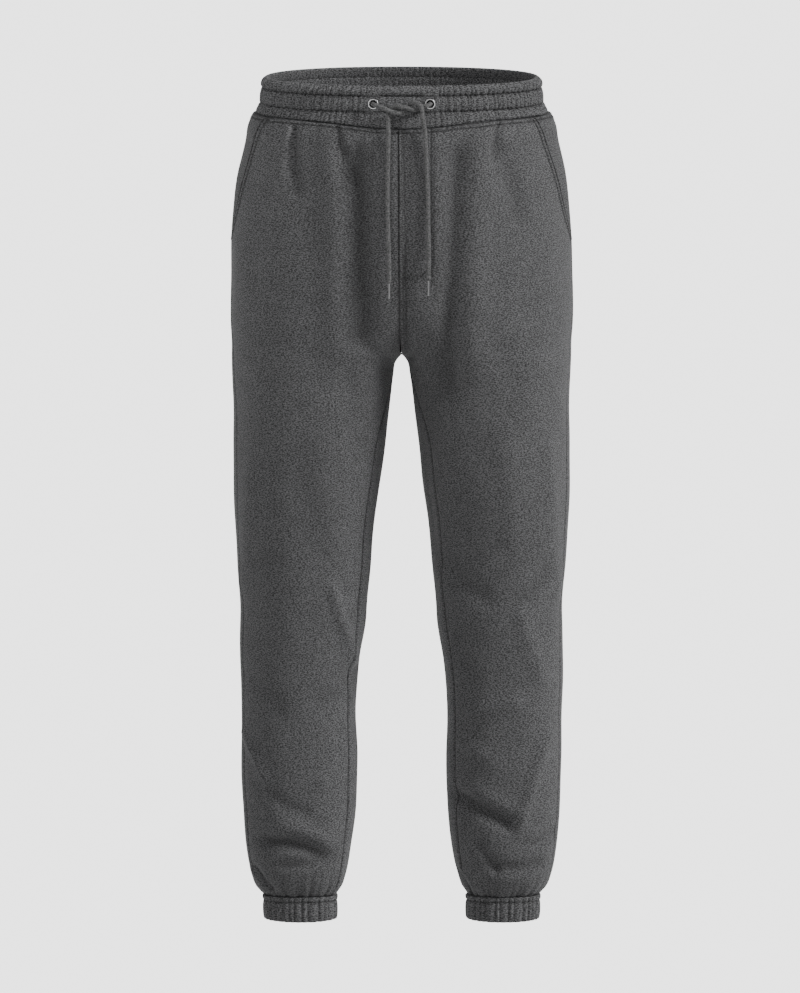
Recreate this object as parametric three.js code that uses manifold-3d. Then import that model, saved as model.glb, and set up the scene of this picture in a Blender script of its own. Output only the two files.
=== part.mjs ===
import * as THREE from 'three';
import { mergeVertices } from 'three/addons/utils/BufferGeometryUtils.js';
import Module from 'manifold-3d';

// Jogger sweatpants in fleece, filled out as if worn, with a gathered elastic waistband,
// slant pockets, gathered cuffs and a drawcord in a half knot. Millimetres, +Z up.
// The origin is the middle of the waist at half the waistband's height. The front faces -Y
// and the wearer's left is at +X, so left and right in the names are the wearer's.

// Driving dimensions
const CLOTH = 2.2; // fleece wall
const SEAM_GAP = 0.4; // between two panels, face to face
const OUTER_EXPONENT = 2.2; // of the section's outer half
const RIM_HEIGHT = 25.2; // top of the waistband
const WAIST_SEAM = -16; // waistband to body at the sides and back
const WAIST_DIP = 8.5; // how much lower the waist seam hangs at centre front
const WAIST_DIP_POWER = 12; // a high power keeps the dip to the centre front
const DIP_STARTS = -4.5; // the second stitched row, above which nothing dips
const DIP_ENDS = -120;
const CROTCH = -308;
const CUFF_SEAM = -961.5;
const POCKET_END = -172; // where the slant opening runs into the side seam
const WALL_TURNS = -270; // from here to the crotch the two halves' walls turn to lie face to face

// Horizontal sections of one half of the body and, below the crotch, of one leg.
// outer: side edge from the middle plane, centre: axis of the leg,
// front and back: depth of the cloth before and behind the origin,
// inner: exponent of the section's inner half, where 2 is an ellipse and more is squarer.
const SECTIONS = [
  { height: 26, outer: 161.5, centre: 0, front: 108, back: 112, inner: 2.2 },
  { height: -16, outer: 172, centre: 0, front: 116, back: 121, inner: 2.2 },
  { height: -19, outer: 177, centre: 0, front: 120, back: 126, inner: 2.2 },
  { height: -28, outer: 183.5, centre: 0, front: 127, back: 132, inner: 2.2 },
  { height: -51, outer: 188, centre: 0, front: 130.5, back: 139, inner: 2.2 },
  { height: -95, outer: 197, centre: 2, front: 132, back: 149, inner: 2.2 },
  { height: -150, outer: 203, centre: 10, front: 131, back: 154, inner: 2.2 },
  { height: -200, outer: 205, centre: 28, front: 127.5, back: 154, inner: 2.25 },
  { height: -240, outer: 205.2, centre: 50, front: 121.5, back: 148, inner: 2.35 },
  { height: -270, outer: 205, centre: 73, front: 115.5, back: 139, inner: 2.5 },
  { height: -290, outer: 203.8, centre: 88.5, front: 111, back: 131.5, inner: 2.6 },
  { height: -303, outer: 203.4, centre: 98.5, front: 108.5, back: 127, inner: 2.7 },
  { height: -308, outer: 203.4, centre: 101.7, front: 107.7, back: 125.5, inner: 2.7 },
  { height: -316, outer: 203.2, centre: 104.8, front: 106.7, back: 123.3, inner: 2.7 },
  { height: -331, outer: 202.8, centre: 106.2, front: 105, back: 119.5, inner: 2.6 },
  { height: -389, outer: 201.6, centre: 109.2, front: 101, back: 111, inner: 2.35 },
  { height: -447, outer: 201.6, centre: 112.5, front: 96, back: 104, inner: 2.2 },
  { height: -505, outer: 200.4, centre: 116.1, front: 88, back: 94, inner: 2.15 },
  { height: -563, outer: 197.4, centre: 117, front: 79, back: 85, inner: 2.15 },
  { height: -621, outer: 193.2, centre: 117.6, front: 73, back: 81, inner: 2.15 },
  { height: -679, outer: 193.8, centre: 122.1, front: 67, back: 79, inner: 2.15 },
  { height: -737, outer: 192.6, centre: 123.6, front: 62, back: 77, inner: 2.15 },
  { height: -795, outer: 192, centre: 122.7, front: 60, back: 77, inner: 2.15 },
  { height: -852, outer: 190.2, centre: 122.7, front: 57, back: 75, inner: 2.15 },
  { height: -910, outer: 186, centre: 123.6, front: 54, back: 73, inner: 2.15 },
  { height: -939, outer: 180, centre: 123.6, front: 47, back: 66, inner: 2.15 },
  { height: -950, outer: 175.8, centre: 123.3, front: 42.5, back: 61.5, inner: 2.15 },
  { height: -957.5, outer: 169.8, centre: 122.7, front: 37.5, back: 56.5, inner: 2.15 },
  { height: -961.5, outer: 165.8, centre: 122, front: 34, back: 53, inner: 2.15 },
  { height: -965, outer: 164.6, centre: 122, front: 33, back: 52, inner: 2.15 },
  { height: -992, outer: 162.6, centre: 121.6, front: 31.5, back: 50.5, inner: 2.15 },
];

// Where the side seam, the inside-leg seam and the slant pocket's edge run round the section,
// in degrees from the side of the body towards the front.
const SIDE_SEAM = [
  { height: 26, angle: 2 },
  { height: -16, angle: 2 },
  { height: -172, angle: 5 },
  { height: -300, angle: 12 },
  { height: -420, angle: 18 },
  { height: -992, angle: 18 },
];
const INSIDE_SEAM = [
  { height: -308, angle: 180 },
  { height: -320, angle: 174 },
  { height: -360, angle: 161 },
  { height: -420, angle: 149 },
  { height: -992, angle: 149 },
];
const POCKET_EDGE = [
  { height: -16, angle: 27.5 },
  { height: -55, angle: 23 },
  { height: -95, angle: 19 },
  { height: -134, angle: 14 },
  { height: -172, angle: 5 },
];

// The angle that a panel's columns are spread to. Only its last columns make up the rest of the
// way to the centre or inside-leg seam, so the others run straight past the crotch.
const SPREAD = [
  { height: -150, front: 90, back: 90 },
  { height: -240, front: 105, back: 105 },
  { height: CROTCH, front: 125, back: 128 },
  { height: -360, front: 140, back: 170 },
  { height: -420, front: 149, back: 211 },
];
const SPREAD_POWER = 5;

// Rows of the panels, from the waist seam down: each band ends at a height and has so many steps.
const PANEL_TOP = WAIST_SEAM - SEAM_GAP;
const PANEL_BANDS = [
  { to: -30, steps: 3 },
  { to: POCKET_END, steps: 5 },
  { to: -270, steps: 3 },
  { to: -300, steps: 3 },
  { to: CROTCH, steps: 2 },
  { to: -331, steps: 2 },
  { to: -910, steps: 13 },
  { to: CUFF_SEAM, steps: 5 },
];
const PANEL_COLUMNS = 10;

// The largest folds, seen from the front or the back: from one end to the other, how far the
// middle bows sideways, half its width, and how far it rises; a trough falls.
const FOLDS = [
  { face: 'front', x: -130, z: -18, toX: -127, toZ: -96, bow: 4, width: 10, rise: -4 },
  { face: 'front', x: -76, z: -20, toX: -58, toZ: -84, bow: 5, width: 10, rise: -4 },
  { face: 'front', x: -66, z: -70, toX: -50, toZ: -270, bow: 0, width: 25, rise: -8 },
  { face: 'front', x: 80, z: -30, toX: 66, toZ: -290, bow: 0, width: 20, rise: 7 },
  { face: 'front', x: 116, z: -20, toX: 109, toZ: -56, bow: 0, width: 10, rise: -4 },
  { face: 'front', x: 122, z: -54, toX: 140, toZ: -126, bow: 0, width: 12, rise: -4 },
  { face: 'front', x: 38, z: -318, toX: 30, toZ: -535, bow: 6, width: 14, rise: -4 },
  { face: 'front', x: -60, z: -330, toX: -50, toZ: -420, bow: 0, width: 13, rise: -3 },
  { face: 'front', x: -82, z: -590, toX: -57, toZ: -672, bow: 0, width: 12, rise: 5 },
  { face: 'front', x: -188, z: -765, toX: -164, toZ: -816, bow: 0, width: 11, rise: 3 },
  { face: 'front', x: -172, z: -891, toX: -98, toZ: -909, bow: -7, width: 12, rise: -8 },
  { face: 'front', x: 150, z: -624, toX: 184, toZ: -700, bow: 0, width: 12, rise: 5 },
  { face: 'front', x: 96, z: -733, toX: 132, toZ: -722, bow: 0, width: 12, rise: 4 },
  { face: 'front', x: 184, z: -760, toX: 142, toZ: -872, bow: 0, width: 11, rise: 5 },
  { face: 'front', x: 74, z: -841, toX: 125, toZ: -869, bow: 0, width: 12, rise: -8 },
  { face: 'back', x: -24, z: -336, toX: -132, toZ: -356, bow: -8, width: 15, rise: -5 },
  { face: 'back', x: 26, z: -344, toX: 124, toZ: -350, bow: 10, width: 15, rise: -5 },
  { face: 'back', x: -70, z: -24, toX: -62, toZ: -110, bow: 0, width: 13, rise: -4 },
  { face: 'back', x: 84, z: -24, toX: 72, toZ: -124, bow: 0, width: 13, rise: -4 },
  { face: 'back', x: -168, z: -546, toX: -86, toZ: -574, bow: 6, width: 15, rise: -6 },
  { face: 'back', x: 84, z: -556, toX: 160, toZ: -590, bow: -6, width: 15, rise: -6 },
  { face: 'back', x: -160, z: -846, toX: -92, toZ: -872, bow: 8, width: 14, rise: -6 },
  { face: 'back', x: 88, z: -850, toX: 162, toZ: -886, bow: -8, width: 14, rise: -6 },
];
const FOLD_FADE = 0.35; // how far round from the side a fold of one face fades in
const FOLD_TAPER = 1.5; // a fold runs out past its ends over so many half widths

// Crest of the waistband's middle channel, where the eyelets sit
const CREST_TOP = 8.6;
const CREST_BOTTOM = 1.2;
const CREST_LIFT = 5;

// Waistband and cuffs: outer face from the top down, then the inner face back up.
// lift: out from the section, wave: half height of the gathers there.
const BAND_PROFILE = [
  { height: 24, lift: 2.6, wave: 0.6 },
  { height: 19.5, lift: 4.8, wave: 0.9 },
  { height: 14, lift: 1.4, wave: 0.3 },
  { height: CREST_TOP, lift: CREST_LIFT, wave: 0.9 },
  { height: CREST_BOTTOM, lift: CREST_LIFT, wave: 0.9 },
  { height: -4.5, lift: 1.4, wave: 0.3 },
  { height: -10.5, lift: 4.6, wave: 0.9 },
  { height: WAIST_SEAM, lift: 2, wave: 0.3 },
  { height: WAIST_SEAM, lift: -3, wave: 0 },
  { height: 23, lift: -3, wave: 0 },
  { height: RIM_HEIGHT, lift: 0, wave: 0 },
];
const BAND_GATHERS = 120;
const FINE_STEPS = 40; // to each stretch, when a ring is cut into equal stretches
const CUFF_PROFILE = [
  { height: -962.2, lift: -0.2, wave: 0.3 },
  { height: -965.4, lift: 1.8, wave: 0.6 },
  { height: -968.4, lift: 0.5, wave: 0.2 },
  { height: -974, lift: 2.4, wave: 0.8 },
  { height: -983, lift: 2.6, wave: 0.8 },
  { height: -989, lift: 1.4, wave: 0.6 },
  { height: -991, lift: -1.2, wave: 0.3 },
  { height: -989, lift: -3.4, wave: 0 },
  { height: -962.2, lift: -3.4, wave: 0 },
];
const CUFF_GATHERS = 34;

// Slant pocket's facing, which shows between the opening and the side seam
const FACING_SINK = CLOTH + 1.6; // how deep it lies under the front panel's edge
const FACING_TUCK = 7; // how far it runs in under that edge
const FACING_NARROW = 10; // where the opening is narrower than this, it sinks from the seam on
const FACING_SLOPE = 0.83; // share of the opening's width over which it goes down
const FACING_COLUMNS = 5;

// Eyelets and drawcord
const EYELET_X = 33;
const EYELET_HEIGHT = 4.9;
const EYELET_HOLE = 4.7; // radius of the hole in the waistband
const EYELET_DEPTH = 7; // how deep that hole goes
const EYELET_SEAT = 0.3; // between the waistband and the flange
const EYELET_FLAT = 9; // the gathers lie flat this near to an eyelet
const EYELET_SIDES = 18;
const SMALL_TURN = 0.01; // radians, a step along the waistband that gives its direction
const EYELET_PROFILE = [
  { radius: 3.8, along: -3 },
  { radius: 4.3, along: -3 },
  { radius: 4.3, along: 0 },
  { radius: 6, along: 0 },
  { radius: 6.3, along: 0.45 },
  { radius: 5.8, along: 1.1 },
  { radius: 4.8, along: 1.4 },
  { radius: 4, along: 1 },
  { radius: 3.8, along: 0.4 },
  { radius: 3.8, along: -3 },
];
const CORD_RADIUS = 2.75;
const CORD_SIDES = 8;
const CORD_STEPS = 48;
const AGLET_GAP = 0.3;
const AGLET_RADIUS = 1.3;
const AGLET_COLLAR = 1.7; // radius of the collar at its top
const AGLET_COLLAR_LENGTH = 1.2;
const AGLET_CHAMFER = 0.4;
const AGLET_LENGTH = 19;
const AGLET_SIDES = 10;

// Routes of the two ends of the drawcord, from inside the waistband to the tip
const RIGHT_CORD = [
  [-33.5, -108, 4.4],
  [-34, -113.5, 4.9],
  [-34.3, -118, 5.2],
  [-33.2, -122.2, 5],
  [-30.2, -125.2, 4.1],
  [-26, -126.8, 2.8],
  [-20.5, -128.2, 0.7],
  [-14, -129.3, -1.8],
  [-8.5, -128.8, -3.7],
  [-3, -127.2, -4.5],
  [2, -125, -3.2],
  [5.4, -123.4, -0.4],
  [8.2, -123.3, 3.9],
  [11.3, -124.7, 7],
  [15.6, -127, 8.2],
  [19.9, -129, 7],
  [23, -129.8, 3.9],
  [24.2, -130, -0.4],
  [25, -130.1, -7],
  [26.2, -130.4, -15],
  [27.6, -131.4, -25],
  [28.6, -132.6, -38],
  [29.5, -134.2, -60],
  [31, -135.2, -95],
  [31.6, -135.3, -130],
  [32.2, -135.3, -165],
  [32.2, -135.3, -190],
  [32, -135.3, -204.5],
];
const LEFT_CORD = [
  [33.5, -108, 4.4],
  [34, -113.5, 4.9],
  [34.2, -117.8, 5.2],
  [33.2, -121.3, 4.8],
  [30.6, -123.8, 4],
  [27, -124.2, 2.9],
  [22.5, -123.8, 1.3],
  [17, -125.2, -1],
  [12, -127.6, -0.4],
  [7.6, -129, 1.4],
  [2.5, -129.1, 2.9],
  [-3.5, -127.6, 3.4],
  [-8.2, -125.4, 2.6],
  [-12.2, -123.8, 0.9],
  [-14.9, -123.2, -2.1],
  [-16, -123.9, -6.2],
  [-16.2, -126.2, -13],
  [-16, -129.2, -21],
  [-15.7, -131.8, -30],
  [-16.3, -134.2, -60],
  [-16.9, -135.3, -100],
  [-16.4, -135.3, -135],
  [-15.4, -135.3, -170],
  [-15, -135.3, -195],
  [-14.9, -135.3, -208],
];

// Colours
const FLEECE = new THREE.MeshStandardMaterial({ color: 0x4b4b4d, roughness: 0.95, metalness: 0 });
const RIBBED = new THREE.MeshStandardMaterial({ color: 0x474749, roughness: 0.95, metalness: 0 });
const CORD = new THREE.MeshStandardMaterial({ color: 0x5e5e60, roughness: 0.9, metalness: 0 });
const METAL = new THREE.MeshStandardMaterial({ color: 0xc4c4c6, roughness: 0.3, metalness: 1 });

// Smooth curve through a table's column, which never overshoots its rows
function curveThrough(rows, key) {
  const points = rows.map((row) => [row.height, row[key]]).sort((a, b) => a[0] - b[0]);
  const last = points.length - 1;
  const secants = [];
  for (let k = 0; k < last; k++) {
    secants.push((points[k + 1][1] - points[k][1]) / (points[k + 1][0] - points[k][0]));
  }
  const slopes = points.map((point, k) => {
    const before = secants[Math.max(k - 1, 0)];
    const after = secants[Math.min(k, last - 1)];
    if (before * after <= 0) return 0;
    const steepest = 3 * Math.min(Math.abs(before), Math.abs(after));
    return Math.sign(before) * Math.min(Math.abs(before + after) / 2, steepest);
  });
  return (height) => {
    const x = Math.min(Math.max(height, points[0][0]), points[last][0]);
    let k = 0;
    while (k < last - 1 && x > points[k + 1][0]) k++;
    const span = points[k + 1][0] - points[k][0];
    const t = (x - points[k][0]) / span;
    const rise = points[k + 1][1] - points[k][1];
    const bend = (1 - t) * slopes[k] * span - t * slopes[k + 1] * span + (2 * t - 1) * rise;
    return points[k][1] + t * rise + t * (1 - t) * bend;
  };
}

const outerAt = curveThrough(SECTIONS, 'outer');
const centreAt = curveThrough(SECTIONS, 'centre');
const frontAt = curveThrough(SECTIONS, 'front');
const backAt = curveThrough(SECTIONS, 'back');
const innerExponentAt = curveThrough(SECTIONS, 'inner');
const sideSeamAt = inRadians(curveThrough(SIDE_SEAM, 'angle'));
const insideSeamAt = inRadians(curveThrough(INSIDE_SEAM, 'angle'));
const pocketEdgeAt = inRadians(curveThrough(POCKET_EDGE, 'angle'));
const frontSpreadAt = inRadians(curveThrough(SPREAD, 'front'));
const backSpreadAt = inRadians(curveThrough(SPREAD, 'back'));

function inRadians(curve) {
  return (height) => THREE.MathUtils.degToRad(curve(height));
}

function smooth(t) {
  return THREE.MathUtils.smoothstep(t, 0, 1);
}

function bulge(value, exponent) {
  return Math.sign(value) * Math.abs(value) ** (2 / exponent);
}

// The waist seam hangs lower at centre front, and the cloth round it goes down with it
function lowered(height, angle) {
  const dip = WAIST_DIP * Math.max(0, Math.sin(angle)) ** WAIST_DIP_POWER;
  const above = smooth((DIP_STARTS - height) / (DIP_STARTS - WAIST_SEAM));
  const below = 1 - smooth((WAIST_SEAM - height) / (WAIST_SEAM - DIP_ENDS));
  return height - dip * above * below;
}

// A point of the section at an angle, moved in from the outer face
function sectionPoint(height, angle, inset) {
  const centre = centreAt(height);
  const exponent = Math.cos(angle) < 0 ? innerExponentAt(height) : OUTER_EXPONENT;
  const depth = Math.sin(angle) > 0 ? frontAt(height) : backAt(height);
  const x = centre + bulge(Math.cos(angle), exponent) * (outerAt(height) - centre - inset);
  const y = -bulge(Math.sin(angle), exponent) * (depth - inset);
  return new THREE.Vector3(x, y, lowered(height, angle));
}

function foldRise(x, z, facing) {
  let total = 0;
  for (const fold of FOLDS) {
    const shown = smooth((fold.face === 'front' ? facing : -facing) / FOLD_FADE);
    if (shown === 0) continue;
    const length = Math.hypot(fold.toX - fold.x, fold.toZ - fold.z);
    const alongX = (fold.toX - fold.x) / length;
    const alongZ = (fold.toZ - fold.z) / length;
    const along = (x - fold.x) * alongX + (z - fold.z) * alongZ;
    const t = Math.min(Math.max(along / length, 0), 1);
    const across = (x - fold.x) * alongZ - (z - fold.z) * alongX - fold.bow * 4 * t * (1 - t);
    const beyond = Math.max(-along, along - length, 0);
    const fade = (across / fold.width) ** 2 + (beyond / (FOLD_TAPER * fold.width)) ** 2;
    total += shown * fold.rise * Math.exp(-fade);
  }
  return total;
}

// A point of one half's cloth: side is 1 for the wearer's left and -1 for the right
function clothPoint(side, height, angle, inset) {
  const plain = sectionPoint(height, angle, 0);
  const rise = foldRise(side * Math.max(plain.x, 0), height, Math.sin(angle));
  const point = sectionPoint(height, angle, inset - rise);
  const turned = smooth((WALL_TURNS - height) / (WALL_TURNS - CROTCH));
  point.x = side * Math.max(point.x, SEAM_GAP / 2 + turned * inset);
  return point;
}

// The angle where the inner face of a half meets the middle plane, above the crotch
function centreAngleAt(height) {
  const centre = centreAt(height);
  const reach = (centre - SEAM_GAP / 2) / (outerAt(height) - centre - CLOTH);
  const cosine = Math.min(Math.max(reach, 0), 1) ** (innerExponentAt(height) / 2);
  return Math.PI - Math.acos(cosine);
}

function trim(height) {
  return SEAM_GAP / 2 / frontAt(height);
}

function frontEdges(height) {
  const start = height > POCKET_END ? pocketEdgeAt(height) : sideSeamAt(height);
  const end = height > CROTCH ? centreAngleAt(height) : insideSeamAt(height) - trim(height);
  return { start: start + trim(height), spread: frontSpreadAt(height), end };
}

function backEdges(height) {
  const start = sideSeamAt(height) - trim(height);
  const inside = insideSeamAt(height) - 2 * Math.PI + trim(height);
  const end = height > CROTCH ? -centreAngleAt(height) : inside;
  return { start, spread: -backSpreadAt(height), end };
}

function panelHeights() {
  const heights = [PANEL_TOP];
  for (const band of PANEL_BANDS) {
    const from = heights[heights.length - 1];
    for (let k = 1; k <= band.steps; k++) {
      heights.push(from + ((band.to - from) * k) / band.steps);
    }
  }
  return heights;
}

// Skins a stack of equal loops. An open stack is a wall: each loop's first half is its outer face
// and the rest its inner face. Both break along the same diagonals, which keeps the wall's
// thickness, and end faces join them.
function loft(loops, closedRound) {
  const size = loops[0].length;
  const index = [];
  const quad = (a, b, c, d) => index.push(a, b, c, a, c, d);
  const stacks = closedRound ? loops.length : loops.length - 1;
  for (let i = 0; i < stacks; i++) {
    const here = i * size;
    const next = ((i + 1) % loops.length) * size;
    for (let k = 0; k < size; k++) {
      const after = (k + 1) % size;
      if (closedRound || k < size / 2) quad(here + k, here + after, next + after, next + k);
      else quad(here + after, next + after, next + k, here + k);
    }
  }
  if (!closedRound) {
    const top = (loops.length - 1) * size;
    for (let k = 0; k < size / 2 - 1; k++) {
      quad(k + 1, k, size - 1 - k, size - 2 - k);
      quad(top + k, top + k + 1, top + size - 2 - k, top + size - 1 - k);
    }
  }
  const positions = loops.flat().flatMap((point) => [point.x, point.y, point.z]);
  const geometry = new THREE.BufferGeometry();
  geometry.setAttribute('position', new THREE.Float32BufferAttribute(positions, 3));
  geometry.setIndex(facingOut(positions, index));
  return geometry;
}

function facingOut(positions, index) {
  const corner = (k) => new THREE.Vector3().fromArray(positions, 3 * index[k]);
  let volume = 0;
  for (let k = 0; k < index.length; k += 3) {
    volume += corner(k).dot(corner(k + 1).cross(corner(k + 2)));
  }
  if (volume < 0) index.reverse();
  return index;
}

// A cloth panel: its edges at each height, and how deep its outer face lies
function panel(side, heights, columns, edgesAt, sinkAt = () => 0) {
  const loops = heights.map((height) => {
    const { start, end, spread = end } = edgesAt(height);
    const face = (inset) => {
      const points = [];
      for (let k = 0; k <= columns; k++) {
        const u = k / columns;
        const angle = start + (spread - start) * u + (end - spread) * u ** SPREAD_POWER;
        points.push(clothPoint(side, height, angle, sinkAt(height, angle) + inset));
      }
      return points;
    };
    return [...face(0), ...face(CLOTH).reverse()];
  });
  return loft(loops, false);
}

function pocketFacing(side) {
  const heights = panelHeights().filter((height) => height >= POCKET_END);
  const edges = (height) => ({
    start: sideSeamAt(height) + trim(height),
    end: pocketEdgeAt(height) + FACING_TUCK / frontAt(height),
  });
  const sink = (height, angle) => {
    const width = pocketEdgeAt(height) - sideSeamAt(height);
    const narrow = 1 - smooth((width * frontAt(height)) / FACING_NARROW);
    const way = (angle - sideSeamAt(height)) / Math.max(width, trim(height));
    return FACING_SINK * Math.max(narrow, smooth(way / FACING_SLOPE));
  };
  return panel(side, heights, FACING_COLUMNS, edges, sink);
}

// Angles that cut a section into stretches of equal length
function evenAngles(count, height) {
  const samples = FINE_STEPS * count;
  const walked = [0];
  let last = sectionPoint(height, 0, 0);
  for (let k = 1; k <= samples; k++) {
    const point = sectionPoint(height, (2 * Math.PI * k) / samples, 0);
    walked.push(walked[k - 1] + point.distanceTo(last));
    last = point;
  }
  const angles = [];
  let k = 0;
  for (let i = 0; i < count; i++) {
    while (walked[k + 1] <= (walked[samples] * i) / count) k++;
    angles.push((2 * Math.PI * k) / samples);
  }
  return angles;
}

// A gathered ring: two columns to a gather, one out and one in
function gatheredRing(profile, gathers, waveAt, place) {
  const middle = profile[Math.floor(profile.length / 3)].height;
  const loops = evenAngles(2 * gathers, middle).map((angle, k) =>
    profile.map(({ height, lift, wave }) => {
      const out = k % 2 === 0 ? wave : -wave;
      return place(sectionPoint(height, angle, -lift - out * waveAt(height, angle)));
    }),
  );
  return loft(loops, true);
}

// Gathers lie flat round each eyelet
function bandWave(height, angle) {
  const point = sectionPoint(height, angle, 0);
  if (point.y > 0) return 1;
  const distance = Math.hypot(Math.abs(point.x) - EYELET_X, height - EYELET_HEIGHT);
  return smooth(distance / EYELET_FLAT - 1);
}

const wasm = await Module();
wasm.setup();

function asManifold(geometry) {
  const bare = geometry.clone();
  bare.deleteAttribute('normal');
  bare.deleteAttribute('uv');
  const merged = mergeVertices(bare);
  return new wasm.Manifold(
    new wasm.Mesh({
      numProp: 3,
      vertProperties: new Float32Array(merged.attributes.position.array),
      triVerts: new Uint32Array(merged.index.array),
    }),
  );
}

function asGeometry(manifold) {
  const mesh = manifold.getMesh();
  const geometry = new THREE.BufferGeometry();
  geometry.setAttribute('position', new THREE.BufferAttribute(mesh.vertProperties, 3));
  geometry.setIndex(new THREE.BufferAttribute(mesh.triVerts, 1));
  return geometry;
}

// Where an eyelet sits: the crest of the waistband's middle channel, and the way out from it
function eyeletSeat(side) {
  const across = EYELET_X / outerAt(EYELET_HEIGHT);
  const angle = Math.acos(across ** (OUTER_EXPONENT / 2));
  const crest = (height, turn) => sectionPoint(height, angle + turn, -CREST_LIFT);
  const here = crest(EYELET_HEIGHT, 0);
  const round = crest(EYELET_HEIGHT, SMALL_TURN).sub(here);
  const up = crest(CREST_TOP, 0).sub(crest(CREST_BOTTOM, 0));
  const out = round.cross(up).normalize();
  if (out.y > 0) out.negate();
  return {
    point: new THREE.Vector3(side * here.x, here.y, EYELET_HEIGHT),
    out: new THREE.Vector3(side * out.x, out.y, out.z),
  };
}

function turnedTo(out) {
  return new THREE.Quaternion().setFromUnitVectors(new THREE.Vector3(0, 1, 0), out);
}

function waistband() {
  let band = asManifold(gatheredRing(BAND_PROFILE, BAND_GATHERS, bandWave, (point) => point));
  for (const side of [-1, 1]) {
    const { point, out } = eyeletSeat(side);
    const drill = new THREE.CylinderGeometry(EYELET_HOLE, EYELET_HOLE, 2 * EYELET_DEPTH, EYELET_SIDES);
    drill.applyQuaternion(turnedTo(out));
    drill.translate(point.x, point.y, point.z);
    band = band.subtract(asManifold(drill));
  }
  return asGeometry(band);
}

function cuff(side) {
  const mirrored = (point) => new THREE.Vector3(side * point.x, point.y, point.z);
  return gatheredRing(CUFF_PROFILE, CUFF_GATHERS, () => 1, mirrored);
}

function eyelet(side) {
  const { point, out } = eyeletSeat(side);
  const profile = EYELET_PROFILE.map(({ radius, along }) => new THREE.Vector2(radius, along));
  const ring = new THREE.LatheGeometry(profile, EYELET_SIDES);
  ring.translate(0, EYELET_SEAT, 0);
  ring.applyQuaternion(turnedTo(out));
  ring.translate(point.x, point.y, point.z);
  return ring;
}

function drawcord(route) {
  const path = new THREE.CatmullRomCurve3(route.map((point) => new THREE.Vector3(...point)));
  const section = new THREE.Shape();
  for (let k = 0; k < CORD_SIDES; k++) {
    const angle = (2 * Math.PI * k) / CORD_SIDES;
    const corner = [CORD_RADIUS * Math.cos(angle), CORD_RADIUS * Math.sin(angle)];
    if (k === 0) section.moveTo(...corner);
    else section.lineTo(...corner);
  }
  section.closePath();
  return new THREE.ExtrudeGeometry(section, { steps: CORD_STEPS, extrudePath: path });
}

function aglet(route) {
  const [x, y, z] = route[route.length - 1];
  const profile = [
    new THREE.Vector2(0, -AGLET_LENGTH),
    new THREE.Vector2(AGLET_RADIUS - AGLET_CHAMFER, -AGLET_LENGTH),
    new THREE.Vector2(AGLET_RADIUS, AGLET_CHAMFER - AGLET_LENGTH),
    new THREE.Vector2(AGLET_RADIUS, -AGLET_COLLAR_LENGTH - AGLET_CHAMFER),
    new THREE.Vector2(AGLET_COLLAR, -AGLET_COLLAR_LENGTH),
    new THREE.Vector2(AGLET_COLLAR, 0),
    new THREE.Vector2(0, 0),
  ];
  const tip = new THREE.LatheGeometry(profile, AGLET_SIDES);
  tip.rotateX(Math.PI / 2);
  tip.translate(x, y, z - AGLET_GAP);
  return tip;
}

const joggers = new THREE.Group();

function add(name, geometry, material) {
  const mesh = new THREE.Mesh(geometry, material);
  mesh.name = name;
  joggers.add(mesh);
}

for (const [name, side] of [['left', 1], ['right', -1]]) {
  add(`front_${name}`, panel(side, panelHeights(), PANEL_COLUMNS, frontEdges), FLEECE);
  add(`back_${name}`, panel(side, panelHeights(), PANEL_COLUMNS, backEdges), FLEECE);
  add(`pocket_facing_${name}`, pocketFacing(side), FLEECE);
  add(`cuff_${name}`, cuff(side), RIBBED);
  add(`eyelet_${name}`, eyelet(side), METAL);
}
add('waistband', waistband(), RIBBED);
add('drawcord_left', drawcord(LEFT_CORD), CORD);
add('drawcord_right', drawcord(RIGHT_CORD), CORD);
add('aglet_left', aglet(LEFT_CORD), METAL);
add('aglet_right', aglet(RIGHT_CORD), METAL);

export default joggers;
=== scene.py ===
import math

import bpy
import numpy as np
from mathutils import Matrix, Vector


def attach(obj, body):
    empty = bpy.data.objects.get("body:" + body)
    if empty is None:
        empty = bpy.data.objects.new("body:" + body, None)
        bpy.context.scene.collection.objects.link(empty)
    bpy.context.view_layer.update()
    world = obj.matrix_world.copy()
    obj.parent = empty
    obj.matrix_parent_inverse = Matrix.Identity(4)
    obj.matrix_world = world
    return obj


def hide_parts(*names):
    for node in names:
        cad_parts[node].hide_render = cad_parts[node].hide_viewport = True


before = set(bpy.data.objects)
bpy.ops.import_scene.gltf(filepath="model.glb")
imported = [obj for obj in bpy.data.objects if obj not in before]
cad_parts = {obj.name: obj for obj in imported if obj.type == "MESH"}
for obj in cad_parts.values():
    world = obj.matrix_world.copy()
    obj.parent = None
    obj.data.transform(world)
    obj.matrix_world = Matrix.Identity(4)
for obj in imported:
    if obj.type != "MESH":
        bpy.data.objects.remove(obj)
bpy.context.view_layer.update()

# Jogger sweatpants in heather fleece, filled out as worn.
# Lengths are worked out in millimetres and turned into metres when a mesh is made.
# The front faces -Y and the wearer's left is at +X, so left and right in names are the wearer's.
MM = 0.001
BODY = "root"
LEFT, RIGHT = 1, -1
SIDES = (("left", LEFT), ("right", RIGHT))

# Driving dimensions, as in the CAD source
CLOTH = 2.2
SEAM_GAP = 0.4
SEAM_LAP = 0.15  # the panels run past a seam's line by this, so that it shows closed
FRONT_LAP = 2.6  # the left front lies over the right one by this, down to the crotch
OUTER_EXPONENT = 2.2
WAIST_SEAM = -16.0
WAIST_DIP = 8.5
WAIST_DIP_POWER = 12
DIP_STARTS = -4.5
DIP_ENDS = -120.0
CROTCH = -308.0
CUFF_SEAM = -961.5
POCKET_END = -172.0
WALL_TURNS = -270.0
PANEL_TOP = WAIST_SEAM - SEAM_GAP
RIM_HEIGHT = 25.2

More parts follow.
